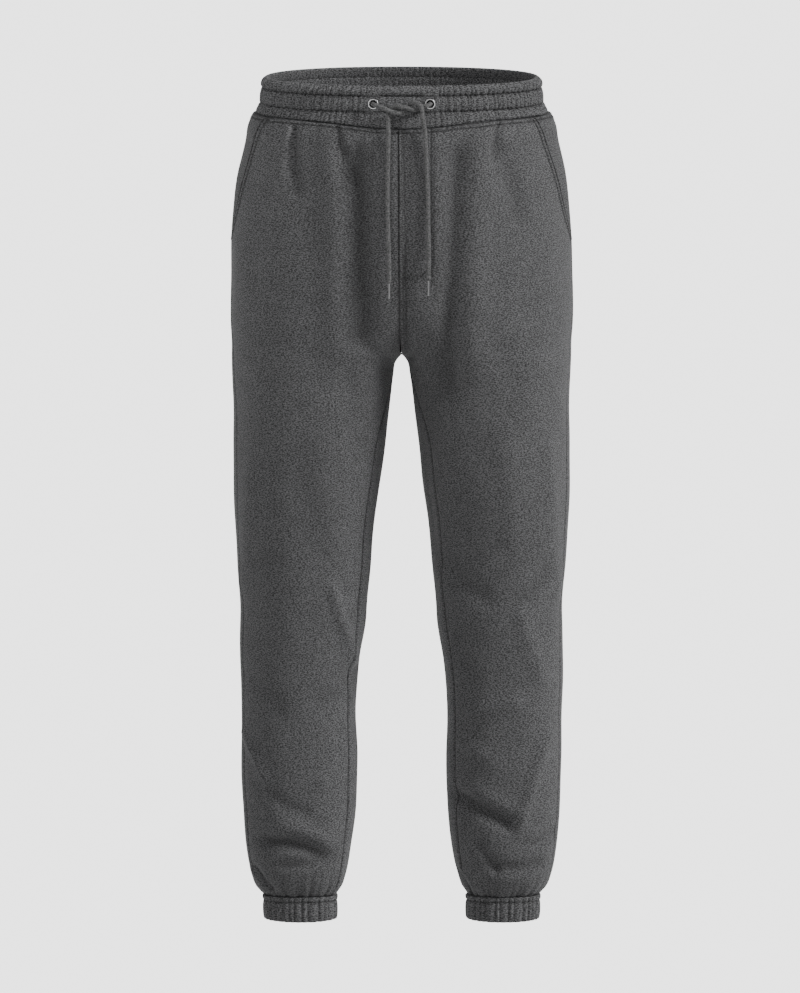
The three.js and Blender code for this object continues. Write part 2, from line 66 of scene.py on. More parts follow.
# height, outer edge, centre of the leg, front depth, back depth, exponent of the inner half
SECTIONS = (
    (26, 161.5, 0, 108, 112, 2.2),
    (-16, 172, 0, 116, 121, 2.2),
    (-19, 177, 0, 120, 126, 2.2),
    (-28, 183.5, 0, 127, 132, 2.2),
    (-51, 188, 0, 130.5, 139, 2.2),
    (-95, 197, 2, 132, 149, 2.2),
    (-150, 203, 10, 131, 154, 2.2),
    (-200, 205, 28, 127.5, 154, 2.25),
    (-240, 205.2, 50, 121.5, 148, 2.35),
    (-270, 205, 73, 115.5, 139, 2.5),
    (-290, 203.8, 88.5, 111, 131.5, 2.6),
    (-303, 203.4, 98.5, 108.5, 127, 2.7),
    (-308, 203.4, 101.7, 107.7, 125.5, 2.7),
    (-316, 203.2, 104.8, 106.7, 123.3, 2.7),
    (-331, 202.8, 106.2, 105, 119.5, 2.6),
    (-389, 201.6, 109.2, 101, 111, 2.35),
    (-447, 201.6, 112.5, 96, 104, 2.2),
    (-505, 200.4, 116.1, 88, 94, 2.15),
    (-563, 197.4, 117, 79, 85, 2.15),
    (-621, 193.2, 117.6, 73, 81, 2.15),
    (-679, 193.8, 122.1, 67, 79, 2.15),
    (-737, 192.6, 123.6, 62, 77, 2.15),
    (-795, 192, 122.7, 60, 77, 2.15),
    (-852, 190.2, 122.7, 57, 75, 2.15),
    (-910, 186, 123.6, 54, 73, 2.15),
    (-939, 180, 123.6, 47, 66, 2.15),
    (-950, 175.8, 123.3, 42.5, 61.5, 2.15),
    (-957.5, 169.8, 122.7, 37.5, 56.5, 2.15),
    (-961.5, 165.8, 122, 34, 53, 2.15),
    (-965, 164.6, 122, 33, 52, 2.15),
    (-992, 162.6, 121.6, 31.5, 50.5, 2.15),
)

# height, degrees from the side of the body towards the front
SIDE_SEAM = ((26, 2), (-16, 2), (-172, 5), (-300, 12), (-420, 18), (-992, 18))
INSIDE_SEAM = ((-308, 180), (-320, 174), (-360, 161), (-420, 149), (-992, 149))
POCKET_EDGE = ((-16, 27.5), (-55, 23), (-95, 19), (-134, 14), (-172, 5))
# height, and the angle that the columns of the front and of the back panel are spread to
SPREAD = ((-150, 90, 90), (-240, 105, 105), (-308, 125, 128), (-360, 140, 170), (-420, 149, 211))
SPREAD_POWER = 5

# Folds seen from one face: x and z of both ends, sideways bow of the middle, half width at the
# first and at the second end, rise, and on which side a softer opposite swell lies beside it
# (1, -1 or 0 for none)
FRONT_FOLDS = (
    (-129, -26, -126, -96, 3, 3, 8, -6.5, 1),
    (-76, -22, -62, -78, 4, 3, 10, -5.0, -1),
    (-53, -58, -45, -262, 0, 14, 17, -10.0, 0),
    (-84, -60, -80, -285, 0, 12, 14, 4.0, 0),
    (7, -40, 5, -296, 0, 8, 9, -3.5, 0),
    (69, -60, 54, -335, 0, 11, 14, -8.0, 0),
    (-165, -40, -168, -250, 0, 38, 38, 4.5, 0),
    (-94, -50, -84, -262, 0, 32, 32, -3.5, 0),
    (-34, -34, -35, -72, 0, 3, 7, -2.5, 0),
    (21, -24, 22, -150, 0, 4, 8, -1.0, 0),
    (92, -40, 84, -300, 0, 18, 22, 6.0, 0),
    (116, -20, 109, -56, 0, 3, 10, -4.0, -1),
    (122, -54, 140, -126, 0, 11, 11, -4.0, 0),
    (38, -318, 30, -535, 6, 14, 14, -4.0, 0),
    (-60, -330, -50, -420, 0, 12, 12, -2.5, 0),
    (-82, -590, -57, -672, 0, 7, 7, 4.5, 0),
    (-82, -795, -96, -816, 0, 6, 6, 3.0, 0),
    (-188, -765, -164, -816, 0, 5, 5, 3.5, 0),
    (-160, -893, -96, -909, -6, 8, 9, -8.0, -1),
    (-177, -927, -159, -950, 0, 3, 4, -4.5, 1),
    (66, -930, 77, -950, 0, 3, 4, -4.0, -1),
    (144, -620, 166, -690, 0, 11, 11, 3.5, 0),
    (174, -766, 142, -872, 0, 8, 8, 4.0, 0),
    (72, -841, 125, -869, 0, 9, 9, -8.0, -1),
    (96, -733, 132, -722, 0, 11, 11, 4.0, 0),
    (76, -776, 96, -786, 0, 7, 7, 2.5, 0),
    (94, -897, 112, -926, 0, 6, 6, -4.0, 0),
    (-138, -922, -106, -918, 0, 6, 6, -4.0, 0),
    (-172, -556, -160, -553, 0, 12, 12, -3.0, 0),
    (176, -410, 186, -590, 0, 8, 8, 2.5, 0),
    (-182, -440, -192, -585, 0, 8, 8, 2.5, 0),
    (-156, -100, -172, -230, 4, 12, 12, -2.5, 0),
    (-46, -280, -14, -304, 3, 8, 6, -1.5, 0),
    (30, -280, 10, -304, -3, 7, 6, -2.5, 0),
    (92, -262, 132, -330, -6, 13, 13, -1.5, 0),
    (-120, -420, -100, -520, 4, 18, 18, -2.5, 0),
    (120, -400, 132, -520, -4, 16, 16, 3.0, 0),
    (62, -560, 96, -590, 5, 11, 11, -3.0, 1),
    (172, -560, 138, -600, -6, 11, 11, -3.0, 0),
    (-60, -690, -96, -722, -5, 11, 11, -3.5, 0),
    (-150, -730, -176, -700, 3, 10, 10, -2.5, 0),
    (-150, -838, -118, -856, 4, 9, 9, -3.0, 1),
    (118, -922, 160, -918, 4, 8, 8, -4.0, 1),
    (150, -896, 176, -884, 3, 8, 8, -3.0, 0),
    (66, -640, 84, -690, 4, 9, 9, -2.5, 0),
)
BACK_FOLDS = (
    (-24, -336, -132, -356, -8, 14, 14, -5.0, 1),
    (26, -344, 124, -350, 10, 14, 14, -5.0, -1),
    (-70, -24, -62, -110, 0, 12, 12, -4.0, 0),
    (84, -24, 72, -124, 0, 12, 12, -4.0, 0),
    (-132, -22, -124, -74, 0, 9, 9, -3.0, 1),
    (138, -22, 128, -92, 0, 9, 9, -3.0, -1),
    (-18, -30, -24, -120, 0, 12, 12, -3.0, 0),
    (34, -24, 30, -80, 0, 9, 9, -2.5, 0),
    (-12, -250, -54, -312, 5, 11, 11, -4.0, 1),
    (12, -262, 48, -306, -5, 10, 10, -4.0, -1),
    (-60, -300, -142, -318, -6, 11, 11, -3.0, 1),
    (70, -306, 150, -312, 7, 11, 11, -3.0, -1),
    (-40, -380, -96, -404, -6, 12, 12, -3.5, 1),
    (40, -392, 110, -408, 6, 12, 12, -3.5, -1),
    (-168, -546, -86, -574, 6, 14, 14, -6.0, 0),
    (84, -556, 160, -590, -6, 14, 14, -6.0, 0),
    (-176, -586, -110, -604, 5, 10, 10, -4.0, 1),
    (76, -598, 132, -616, -5, 10, 10, -4.0, 1),
    (-150, -514, -92, -524, 4, 10, 10, -3.0, 0),
    (96, -520, 166, -540, -4, 10, 10, -3.0, 0),
    (-160, -640, -100, -664, 5, 12, 12, -3.0, 0),
    (90, -652, 150, -668, -5, 12, 12, -3.0, 0),
    (-172, -740, -120, -772, 4, 13, 13, -3.0, 1),
    (84, -748, 140, -780, -4, 13, 13, -3.0, 1),
    (-160, -846, -92, -872, 8, 13, 13, -6.0, 0),
    (88, -850, 162, -886, -8, 13, 13, -6.0, 0),
    (-180, -900, -110, -912, 5, 9, 9, -4.5, 1),
    (80, -904, 150, -916, -5, 9, 9, -4.5, 1),
)
FOLD_FADE = 0.35
FOLD_TAPER = 1.5
LIP_SHARE = 0.35
LIP_AWAY = 1.9  # from the fold's middle to its swell, in half widths

# Waistband: three puffed channels between the rim, two stitched rows and the waist seam
CHANNELS = ((24.6, 14.0), (14.0, -4.5), (-4.5, -16.0))
BAND_ROWS = (14.0, -4.5)
BAND_GROOVE = 1.3
BAND_PUFF = 3.7
BAND_LOW_PUFF = 2.3  # of the lowest channel, which runs on flush into the body
BAND_SEAM_DEPTH = 1.2
BAND_INNER = 2.7
BAND_GATHERS = 135
BAND_WAVE = 2.0
EYELET_X = 33.0
EYELET_HEIGHT = 4.9
EYELET_FLAT = 8.5
EYELET_HOLE = 4.5
EYELET_SEAT = 0.3
HOLE_DEPTH = 6.5
HOLE_FLAT = 3.4  # radius of the hole's floor
# How much painted shade darkens the eyelet's hole, and the gather valleys and stitched rows of the band and
# the cuffs
HOLE_SHADE = 0.85
BAND_VALLEY_SHADE = 0.28
BAND_ROW_SHADE = 0.45
CUFF_ROW_SHADE = 0.4

# Cuffs: a narrow stitched head and a wide gathered band
CUFF_HEAD = (-962.2, -968.4)
CUFF_BAND = (-968.4, -991.0)
CUFF_GATHERS = 34
CUFF_WAVE = 1.5
CUFF_SAG = 1.6  # how much lower the cuff's edge hangs at the front
CUFF_INNER = 3.2

# Slant pocket's facing
FACING_SINK = CLOTH + 2.2
FACING_TUCK = 7.0
FACING_NARROW = 10.0

# Sewing: distances are from the edge that the row follows
STITCH = 2.7
STITCH_PITCH = 3.5
THREAD = 0.34
POCKET_ROWS = (1.8, 7.2)
CENTRE_ROWS = (5.4, 8.2)
FLY_WIDTH = 38.8
FLY_END = -206.0
FLY_ROWS = (0.0, 3.6)
WAIST_ROW = 4.6

# Routes of the two ends of the drawcord, in metres, from inside the waistband to the tip
CORD_DIAMETER = 0.0055
RIGHT_CORD = (
    (-0.0335, -0.108, 0.0044),
    (-0.034, -0.1135, 0.0049),
    (-0.0343, -0.118, 0.0052),
    (-0.0332, -0.1222, 0.005),
    (-0.0302, -0.1252, 0.0041),
    (-0.026, -0.1268, 0.0028),
    (-0.0205, -0.1282, 0.0007),
    (-0.014, -0.1293, -0.0018),
    (-0.0085, -0.1288, -0.0037),
    (-0.003, -0.1272, -0.0045),
    (0.002, -0.125, -0.0032),
    (0.0054, -0.1234, -0.0004),
    (0.0082, -0.1233, 0.0039),
    (0.0113, -0.1247, 0.007),
    (0.0156, -0.127, 0.0082),
    (0.0199, -0.129, 0.007),
    (0.023, -0.1298, 0.0039),
    (0.0242, -0.13, -0.0004),
    (0.025, -0.1301, -0.007),
    (0.0262, -0.1304, -0.015),
    (0.0276, -0.1314, -0.025),
    (0.0286, -0.1326, -0.038),
    (0.0295, -0.1342, -0.06),
    (0.031, -0.1352, -0.095),
    (0.0316, -0.1353, -0.13),
    (0.0322, -0.1353, -0.165),
    (0.0322, -0.1353, -0.19),
    (0.032, -0.1353, -0.2045),
)
LEFT_CORD = (
    (0.0335, -0.108, 0.0044),
    (0.034, -0.1135, 0.0049),
    (0.0342, -0.1178, 0.0052),
    (0.0332, -0.1213, 0.0048),
    (0.0306, -0.1238, 0.004),
    (0.027, -0.1242, 0.0029),
    (0.0225, -0.1238, 0.0013),
    (0.017, -0.1252, -0.001),
    (0.012, -0.1276, -0.0004),
    (0.0076, -0.129, 0.0014),
    (0.0025, -0.1291, 0.0029),
    (-0.0035, -0.1276, 0.0034),
    (-0.0082, -0.1254, 0.0026),
    (-0.0122, -0.1238, 0.0009),
    (-0.0149, -0.1232, -0.0021),
    (-0.016, -0.1239, -0.0062),
    (-0.0162, -0.1262, -0.013),
    (-0.016, -0.1292, -0.021),
    (-0.0157, -0.1318, -0.03),
    (-0.0163, -0.1342, -0.06),
    (-0.0169, -0.1353, -0.1),
    (-0.0164, -0.1353, -0.135),
    (-0.0154, -0.1353, -0.17),
    (-0.015, -0.1353, -0.195),
    (-0.0149, -0.1353, -0.208),
)
AGLET_GAP = 0.3
AGLET_RADIUS = 1.3
AGLET_COLLAR = 1.7
AGLET_LENGTH = 19.0

# Camera: one pixel of the 800 x 993 frame is 1.2 mm at the garment
FRAME_HEIGHT = 993 * 1.2 * MM
AIM = Vector((-2 * MM, 0, -481 * MM))
CAMERA_AWAY = 40.0
CAMERA_DOWN = math.radians(6.8)
SENSOR = 36.0
FLOOR_HEIGHT = -1.4
FLOOR_SIZE = 240.0
FLOOR_GLOW = 2.06
WORLD_LIGHT = 0.46


# Camera, floor and light
def new_object(name, data):
    made = bpy.data.objects.new(name, data)
    bpy.context.collection.objects.link(made)
    return made


def make_camera():
    data = bpy.data.cameras.new("camera")
    data.sensor_width = SENSOR
    data.lens = SENSOR * CAMERA_AWAY / FRAME_HEIGHT
    data.clip_end = 4 * CAMERA_AWAY
    camera = new_object("camera", data)
    back = Vector((0, -math.cos(CAMERA_DOWN), math.sin(CAMERA_DOWN)))
    camera.location = AIM + CAMERA_AWAY * back
    camera.rotation_euler = (math.pi / 2 - CAMERA_DOWN, 0, 0)
    bpy.context.scene.camera = camera


def make_sun(name, azimuth, elevation, strength, softness):
    data = bpy.data.lights.new(name, "SUN")
    data.energy = strength
    data.angle = math.radians(softness)
    sun = new_object(name, data)
    sun.rotation_euler = (math.radians(90 - elevation), 0, math.radians(azimuth))


def make_fill(name, place, towards, size, power):
    data = bpy.data.lights.new(name, "AREA")
    data.energy = power
    data.size = size
    fill = new_object(name, data)
    fill.location = place
    fill.rotation_euler = (Vector(towards) - Vector(place)).to_track_quat("-Z", "Y").to_euler()
    fill.visible_camera = False


def make_stage():
    half = FLOOR_SIZE / 2
    corners = ((-half, -half), (half, -half), (half, half), (-half, half))
    mesh = bpy.data.meshes.new("floor")
    mesh.from_pydata([(x, y, FLOOR_HEIGHT) for x, y in corners], [], [(0, 1, 2, 3)])
    floor = new_object("floor", mesh)
    material = bpy.data.materials.new("floor")
    material.use_nodes = True
    shader = material.node_tree.nodes["Principled BSDF"]
    shader.inputs["Base Color"].default_value = (0.8, 0.8, 0.8, 1)
    shader.inputs["Roughness"].default_value = 1.0
    shader.inputs["Specular IOR Level"].default_value = 0.0
    shader.inputs["Emission Color"].default_value = (1, 1, 1, 1)
    shader.inputs["Emission Strength"].default_value = FLOOR_GLOW
    mesh.materials.append(material)
    floor.visible_diffuse = False  # its glow is for the backdrop and lights nothing
    world = bpy.data.worlds.new("studio")
    bpy.context.scene.world = world
    world.use_nodes = True
    world.node_tree.nodes["Background"].inputs["Color"].default_value = (1, 1, 1, 1)
    world.node_tree.nodes["Background"].inputs["Strength"].default_value = WORLD_LIGHT
    make_sun("key", azimuth=68, elevation=32, strength=3.8, softness=18)
    make_sun("front", azimuth=-10, elevation=40, strength=0.12, softness=40)
    make_fill("upper_left", place=(-0.7, -0.9, 0.5), towards=(-0.12, 0, -0.05), size=0.6, power=6.0)


# Node materials
class Nodes:
    def __init__(self, name):
        self.material = bpy.data.materials.new(name)
        self.material.use_nodes = True
        self.tree = self.material.node_tree
        self.shader = self.tree.nodes["Principled BSDF"]

    def add(self, kind, **settings):
        node = self.tree.nodes.new(kind)
        for key, value in settings.items():
            setattr(node, key, value)
        return node

    def link(self, source, target):
        self.tree.links.new(source, target)

    def set(self, name, value):
        self.shader.inputs[name].default_value = value

    def cloth_place(self, scale):
        place = self.add("ShaderNodeAttribute", attribute_name="cloth")
        mapping = self.add("ShaderNodeMapping")
        mapping.inputs["Scale"].default_value = scale
        self.link(place.outputs["Vector"], mapping.inputs["Vector"])
        return mapping.outputs["Vector"]

    def noise(self, place, scale=1.0, detail=2.0, roughness=0.5, distortion=0.0):
        node = self.add("ShaderNodeTexNoise")
        node.inputs["Scale"].default_value = scale
        node.inputs["Detail"].default_value = detail
        node.inputs["Roughness"].default_value = roughness
        node.inputs["Distortion"].default_value = distortion
        self.link(place, node.inputs["Vector"])
        return node.outputs["Fac"]

    def ramp(self, value, stops):
        node = self.add("ShaderNodeValToRGB")
        ramp = node.color_ramp
        while len(ramp.elements) < len(stops):
            ramp.elements.new(0.5)
        for element, (position, grey) in zip(ramp.elements, stops):
            element.position = position
            element.color = (grey, grey, grey * 1.01, 1)
        self.link(value, node.inputs["Fac"])
        return node.outputs["Color"]

    def mix(self, kind, share, first, second):
        node = self.add("ShaderNodeMix", data_type="RGBA", blend_type=kind)
        node.inputs["Factor"].default_value = share
        self.link(first, node.inputs["A"])
        self.link(second, node.inputs["B"])
        return node.outputs["Result"]

    def math(self, operation, first, second):
        node = self.add("ShaderNodeMath", operation=operation)
        for socket, value in zip(node.inputs, (first, second)):
            if isinstance(value, (int, float)):
                socket.default_value = value
            else:
                self.link(value, socket)
        return node.outputs["Value"]

    def bump(self, height, strength, distance, normal=None):
        node = self.add("ShaderNodeBump")
        node.inputs["Strength"].default_value = strength
        node.inputs["Distance"].default_value = distance
        self.link(height, node.inputs["Height"])
        if normal is not None:
            self.link(normal, node.inputs["Normal"])
        return node.outputs["Normal"]


def fleece_material(name, grey, contrast):
    """Heather jersey: short flecks along the courses, fine wales, and fuzz, with the mesh's painted shade
    multiplied into the colour.
    """
    nodes = Nodes(name)
    flecks = nodes.noise(nodes.cloth_place((0.5, 1.0, 0.7)), distortion=0.6)
    low, high = grey * (1 - contrast), grey * (1 + contrast)
    colour = nodes.ramp(flecks, ((0.42, low), (0.5, grey), (0.58, high)))
    fibres = nodes.noise(nodes.cloth_place((1.3, 3.2, 1.5)), roughness=0.6)
    fibre_colour = nodes.ramp(fibres, ((0.3, 0.62), (0.7, 1.0)))
    colour = nodes.mix("MULTIPLY", 0.7, colour, fibre_colour)
    patches = nodes.noise(nodes.cloth_place((0.03, 0.045, 0.03)))
    patch_colour = nodes.ramp(patches, ((0.3, 0.88), (0.7, 1.0)))
    colour = nodes.mix("MULTIPLY", 0.8, colour, patch_colour)
    # Painted shade: each point's painted shade value darkens the colour in folds, gathers, seams, stitched
    # rows, the pocket facing and the eyelet holes
    painted_shade = nodes.add("ShaderNodeAttribute", attribute_name="painted_shade")
    colour = nodes.mix("MULTIPLY", 1.0, colour, painted_shade.outputs["Color"])
    nodes.link(colour, nodes.shader.inputs["Base Color"])
    nodes.set("Roughness", 0.93)
    nodes.set("Specular IOR Level", 0.2)
    nodes.set("Sheen Weight", 0.06)
    nodes.set("Sheen Roughness", 0.5)
    nodes.set("Sheen Tint", (0.8, 0.8, 0.82, 1))
    wales = nodes.add("ShaderNodeTexWave", wave_type="BANDS", bands_direction="X")
    wales.inputs["Scale"].default_value = 1.0
    wales.inputs["Distortion"].default_value = 1.2
    wales.inputs["Detail"].default_value = 1.0
    wales.inputs["Detail Scale"].default_value = 1.5
    nodes.link(nodes.cloth_place((0.32, 0.5, 0.3)), wales.inputs["Vector"])
    fuzz = nodes.noise(nodes.cloth_place((0.9, 1.4, 1.0)), detail=4.0, roughness=0.65)
    normal = nodes.bump(wales.outputs["Fac"], strength=0.25, distance=0.0003)
    normal = nodes.bump(fuzz, strength=0.55, distance=0.0011, normal=normal)
    nodes.link(normal, nodes.shader.inputs["Normal"])
    return nodes.material


def cord_material(name, grey):
    """Braided cord: the plaits are in the mesh, the yarn's twist and flecks are here."""
    nodes = Nodes(name)
    flecks = nodes.noise(nodes.cloth_place((0.6, 0.6, 0.6)), detail=3.0, roughness=0.6)
    colour = nodes.ramp(flecks, ((0.38, grey * 0.45), (0.5, grey), (0.62, grey * 1.6)))
    nodes.link(colour, nodes.shader.inputs["Base Color"])
    nodes.set("Roughness", 0.85)
    nodes.set("Specular IOR Level", 0.25)
    nodes.set("Sheen Weight", 0.05)
    yarn = nodes.noise(nodes.cloth_place((3.0, 5.0, 3.0)), roughness=0.6)
    nodes.link(nodes.bump(yarn, strength=0.5, distance=0.0003), nodes.shader.inputs["Normal"])
    return nodes.material


def metal_material(name, grey, roughness):
    """Satin nickel with faint drawing marks and handling wear."""
    nodes = Nodes(name)
    place = nodes.add("ShaderNodeTexCoord").outputs["Object"]
    marks = nodes.noise(place, scale=900.0, detail=3.0, roughness=0.6)
    colour = nodes.ramp(marks, ((0.3, grey * 0.86), (0.7, grey)))
    nodes.link(colour, nodes.shader.inputs["Base Color"])
    nodes.set("Metallic", 1.0)
    rough = nodes.math("MULTIPLY_ADD", marks, 0.12)
    nodes.tree.nodes[-1].inputs[2].default_value = roughness
    nodes.link(rough, nodes.shader.inputs["Roughness"])
    nodes.link(nodes.bump(marks, strength=0.12, distance=0.0001), nodes.shader.inputs["Normal"])
    return nodes.material


# Curves and sections
def curve_through(rows, column):
    """Smooth curve through a table's column, which never overshoots its rows."""
    table = sorted(rows)
    x = np.array([row[0] for row in table], float)
    y = np.array([row[column] for row in table], float)
    width = np.diff(x)
    secant = np.diff(y) / width
    before = np.concatenate([secant[:1], secant])
    after = np.concatenate([secant, secant[-1:]])
    steepest = 3 * np.minimum(abs(before), abs(after))
    slope = np.sign(before) * np.minimum(abs(before + after) / 2, steepest)
    slope = np.where(before * after > 0, slope, 0)

    def at(height):
        h = np.clip(height, x[0], x[-1])
        k = np.clip(np.searchsorted(x, h, side="right") - 1, 0, len(x) - 2)
        t = (h - x[k]) / width[k]
        rise = y[k + 1] - y[k]
        bend = (1 - t) * slope[k] * width[k] - t * slope[k + 1] * width[k] + (2 * t - 1) * rise
        return y[k] + t * rise + t * (1 - t) * bend

    return at


def angle_through(rows, column=1):
    curve = curve_through(rows, column)
    return lambda height: np.radians(curve(height))


outer_at, centre_at, front_at, back_at, inner_exponent_at = (
    curve_through(SECTIONS, column) for column in range(1, 6)
)
side_seam_at = angle_through(SIDE_SEAM)
inside_seam_at = angle_through(INSIDE_SEAM)
pocket_edge_at = angle_through(POCKET_EDGE)
front_spread_at = angle_through(SPREAD, 1)
back_spread_at = angle_through(SPREAD, 2)


def smooth(t):
    t = np.clip(t, 0, 1)
    return t * t * (3 - 2 * t)


def bulge(value, exponent):
    return np.sign(value) * np.abs(value) ** (2 / exponent)


def bell(value, width):
    return np.exp(-((value / width) ** 2))


def walked_along(points):
    """The way walked from the first point to each point of a line."""
    return np.concatenate([[0], np.cumsum(np.linalg.norm(np.diff(points, axis=0), axis=1))])


def places_at(wanted, walked, points):
    return np.column_stack([np.interp(wanted, walked, points[:, k]) for k in range(3)])


def lowered(height, angle):
    dip = WAIST_DIP * np.maximum(0, np.sin(angle)) ** WAIST_DIP_POWER
    above = smooth((DIP_STARTS - height) / (DIP_STARTS - WAIST_SEAM))
    below = 1 - smooth((WAIST_SEAM - height) / (WAIST_SEAM - DIP_ENDS))
    return height - dip * above * below


def section_point(height, angle, inset):
    """Points of the sections, moved in from the outer face, in the last axis."""
    height, angle = np.broadcast_arrays(np.asarray(height, float), angle)
    centre = centre_at(height)
    exponent = np.where(np.cos(angle) < 0, inner_exponent_at(height), OUTER_EXPONENT)
    depth = np.where(np.sin(angle) > 0, front_at(height), back_at(height))
    x = centre + bulge(np.cos(angle), exponent) * (outer_at(height) - centre - inset)
    y = -bulge(np.sin(angle), exponent) * (depth - inset)
    return np.stack([x, y, lowered(height, angle)], axis=-1)


def centre_angle_at(height):
    centre = centre_at(height)
    reach = np.clip((centre - SEAM_GAP / 2) / (outer_at(height) - centre - CLOTH), 0, 1)
    return math.pi - np.arccos(reach ** (inner_exponent_at(height) / 2))


def trim(height):
    return -SEAM_LAP / front_at(height)


def front_lap(height):
    return FRONT_LAP * smooth((height - CROTCH - 8) / 25)


def front_edges(height):
    start = np.where(height > POCKET_END, pocket_edge_at(height), side_seam_at(height))
    end = np.where(height > CROTCH, centre_angle_at(height), inside_seam_at(height) - trim(height))
    return start + trim(height), front_spread_at(height), end


def lapped_front_edges(height):
    start, spread, end = front_edges(height)
    return start, spread, end + front_lap(height) / front_at(height)


def back_edges(height):
    inside = inside_seam_at(height) - 2 * math.pi + trim(height)
    end = np.where(height > CROTCH, -centre_angle_at(height), inside)
    return side_seam_at(height) - trim(height), -back_spread_at(height), end


def facing_edges(height):
    end = pocket_edge_at(height) + FACING_TUCK / front_at(height)
    return side_seam_at(height) + trim(height), end, end


# Relief of the cloth: folds, gathers and the soft unevenness between them
def fold_rise(x, z, facing):
    total = np.zeros_like(x)
    for folds, towards in ((FRONT_FOLDS, facing), (BACK_FOLDS, -facing)):
        shown = smooth(towards / FOLD_FADE)
        for x0, z0, x1, z1, bow, first_width, last_width, rise, lip in folds:
            length = math.hypot(x1 - x0, z1 - z0)
            along_x, along_z = (x1 - x0) / length, (z1 - z0) / length
            along = (x - x0) * along_x + (z - z0) * along_z
            t = np.clip(along / length, 0, 1)
            across = (x - x0) * along_z - (z - z0) * along_x - bow * 4 * t * (1 - t)
            beyond = np.maximum(np.maximum(-along, along - length), 0)
            width = first_width + (last_width - first_width) * t
            form = bell(across, width)
            if lip:
                form = form - LIP_SHARE * bell(across - lip * LIP_AWAY * width, width)
            total += shown * rise * form * bell(beyond, FOLD_TAPER * width)
    return total


RIPPLES = 9
RIPPLE_RISE = 0.42
RIPPLE_WAVES = (46.0, 130.0)
RIPPLE_SEED = 11
RIPPLE_STRETCH = (1.0, 1.0, 0.8)
ripple_draw = np.random.default_rng(RIPPLE_SEED)
ripple_ways = ripple_draw.normal(size=(RIPPLES, 3)) * RIPPLE_STRETCH
ripple_ways /= np.linalg.norm(ripple_ways, axis=1, keepdims=True)
ripple_turns = ripple_ways * 2 * math.pi / ripple_draw.uniform(*RIPPLE_WAVES, size=(RIPPLES, 1))
ripple_starts = ripple_draw.uniform(0, 2 * math.pi, size=RIPPLES)


def ripple(point):
    """The soft unevenness of the cloth: long waves that cross each other."""
    waves = np.sin(point @ ripple_turns.T + ripple_starts)
    return RIPPLE_RISE * waves.sum(axis=-1) / math.sqrt(RIPPLES / 2)


def gather_list(seed, count, widths, lengths, depths):
    """Gathers round a ring: place as a share of the way round, width, length, depth."""
    draw = np.random.default_rng(seed)
    places = (np.arange(count) + draw.uniform(-0.38, 0.38, count)) / count
    return np.column_stack([places, *(draw.uniform(*r, count) for r in (widths, lengths, depths))])


def gather_rise(gathers, share, round_length, away):
    """Troughs that run from a seam into the cloth and fade with the distance away from it."""
    total = np.zeros_like(share)
    for place, width, length, depth in gathers:
        across = (np.mod(share - place + 0.5, 1) - 0.5) * round_length
        near = abs(across) < 3 * width
        total[near] -= depth * bell(across[near], width) * np.exp(-away[near] / length)
    return total


WAIST_LENGTH = 950.0
WAIST_GATHERS = gather_list(5, 84, (2.2, 4.6), (7, 30), (0.5, 1.7))
ANKLE_LENGTH = 330.0
ANKLE_GATHERS = {
    LEFT: gather_list(21, 30, (2.2, 4.2), (9, 26), (1.4, 3.2)),
    RIGHT: gather_list(22, 30, (2.2, 4.2), (9, 26), (1.4, 3.2)),
}
GATHER_REACH = 110.0


# Painted shade: hollows, seams and stitched lines are painted darker than the open cloth, where shade falls
# on them
LINE_SHADE = 0.68
FOLD_SHADE = 0.038
GATHER_SHADE = 0.16
DEEPEST_SHADE = 0.35


def seam_gathers(side, height, angle, away_top):
    """Gathers into the waistband and into the cuff."""
    total = np.zeros_like(angle)
    full = angle if side == LEFT else math.pi - angle
    top = away_top < GATHER_REACH
    total[top] += gather_rise(WAIST_GATHERS, full[top] / (2 * math.pi), WAIST_LENGTH, away_top[top])
    away = height - CUFF_SEAM
    low = away < GATHER_REACH
    share = full[low] / (2 * math.pi)
    total[low] += gather_rise(ANKLE_GATHERS[side], share, ANKLE_LENGTH, away[low])
    return total


# Meshes
def new_piece(name, points, faces, material, replaced=None, cloth=None, painted_shade=None):
    """A piece that rides on the body, from points in millimetres and lists of their numbers."""
    mesh = bpy.data.meshes.new(name)
    mesh.from_pydata((np.asarray(points) * MM).tolist(), [], faces)
    mesh.polygons.foreach_set("use_smooth", [True] * len(mesh.polygons))
    if cloth is not None:
        attribute = mesh.attributes.new("cloth", "FLOAT_VECTOR", "POINT")
        attribute.data.foreach_set("vector", np.ascontiguousarray(cloth, np.float32).ravel())
    # Painted shade, one value a point, which the fleece multiplies into its colour
    if painted_shade is not None:
        attribute = mesh.attributes.new("painted_shade", "FLOAT", "POINT")
        attribute.data.foreach_set("value", np.ascontiguousarray(painted_shade, np.float32).ravel())
    mesh.materials.append(material)
    piece = new_object(name, mesh)
    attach(piece, BODY)
    if replaced:
        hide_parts(replaced)
    return piece


def cloth_shell(node, loops, cloth, painted_shade, material, closed_round):
    """The cloth in place of a node, from a stack of loops."""
    points = loops.reshape(-1, 3)
    faces = facing_out(points, loft_faces(len(loops), loops.shape[1], closed_round))
    cloth = cloth.reshape(-1, 3)
    return new_piece(f"{node}_cloth", points, faces.tolist(), material, node, cloth, painted_shade)


def ring_quads(rings, size, closed_round=False, closed_ring=True):
    """Quads from each ring of points to the next."""
    k = np.arange(size if closed_ring else size - 1)
    after = (k + 1) % size
    faces = []
    for i in range(rings if closed_round else rings - 1):
        here, beyond = i * size, ((i + 1) % rings) * size
        faces.append(np.column_stack([here + k, here + after, beyond + after, beyond + k]))
    return np.concatenate(faces)


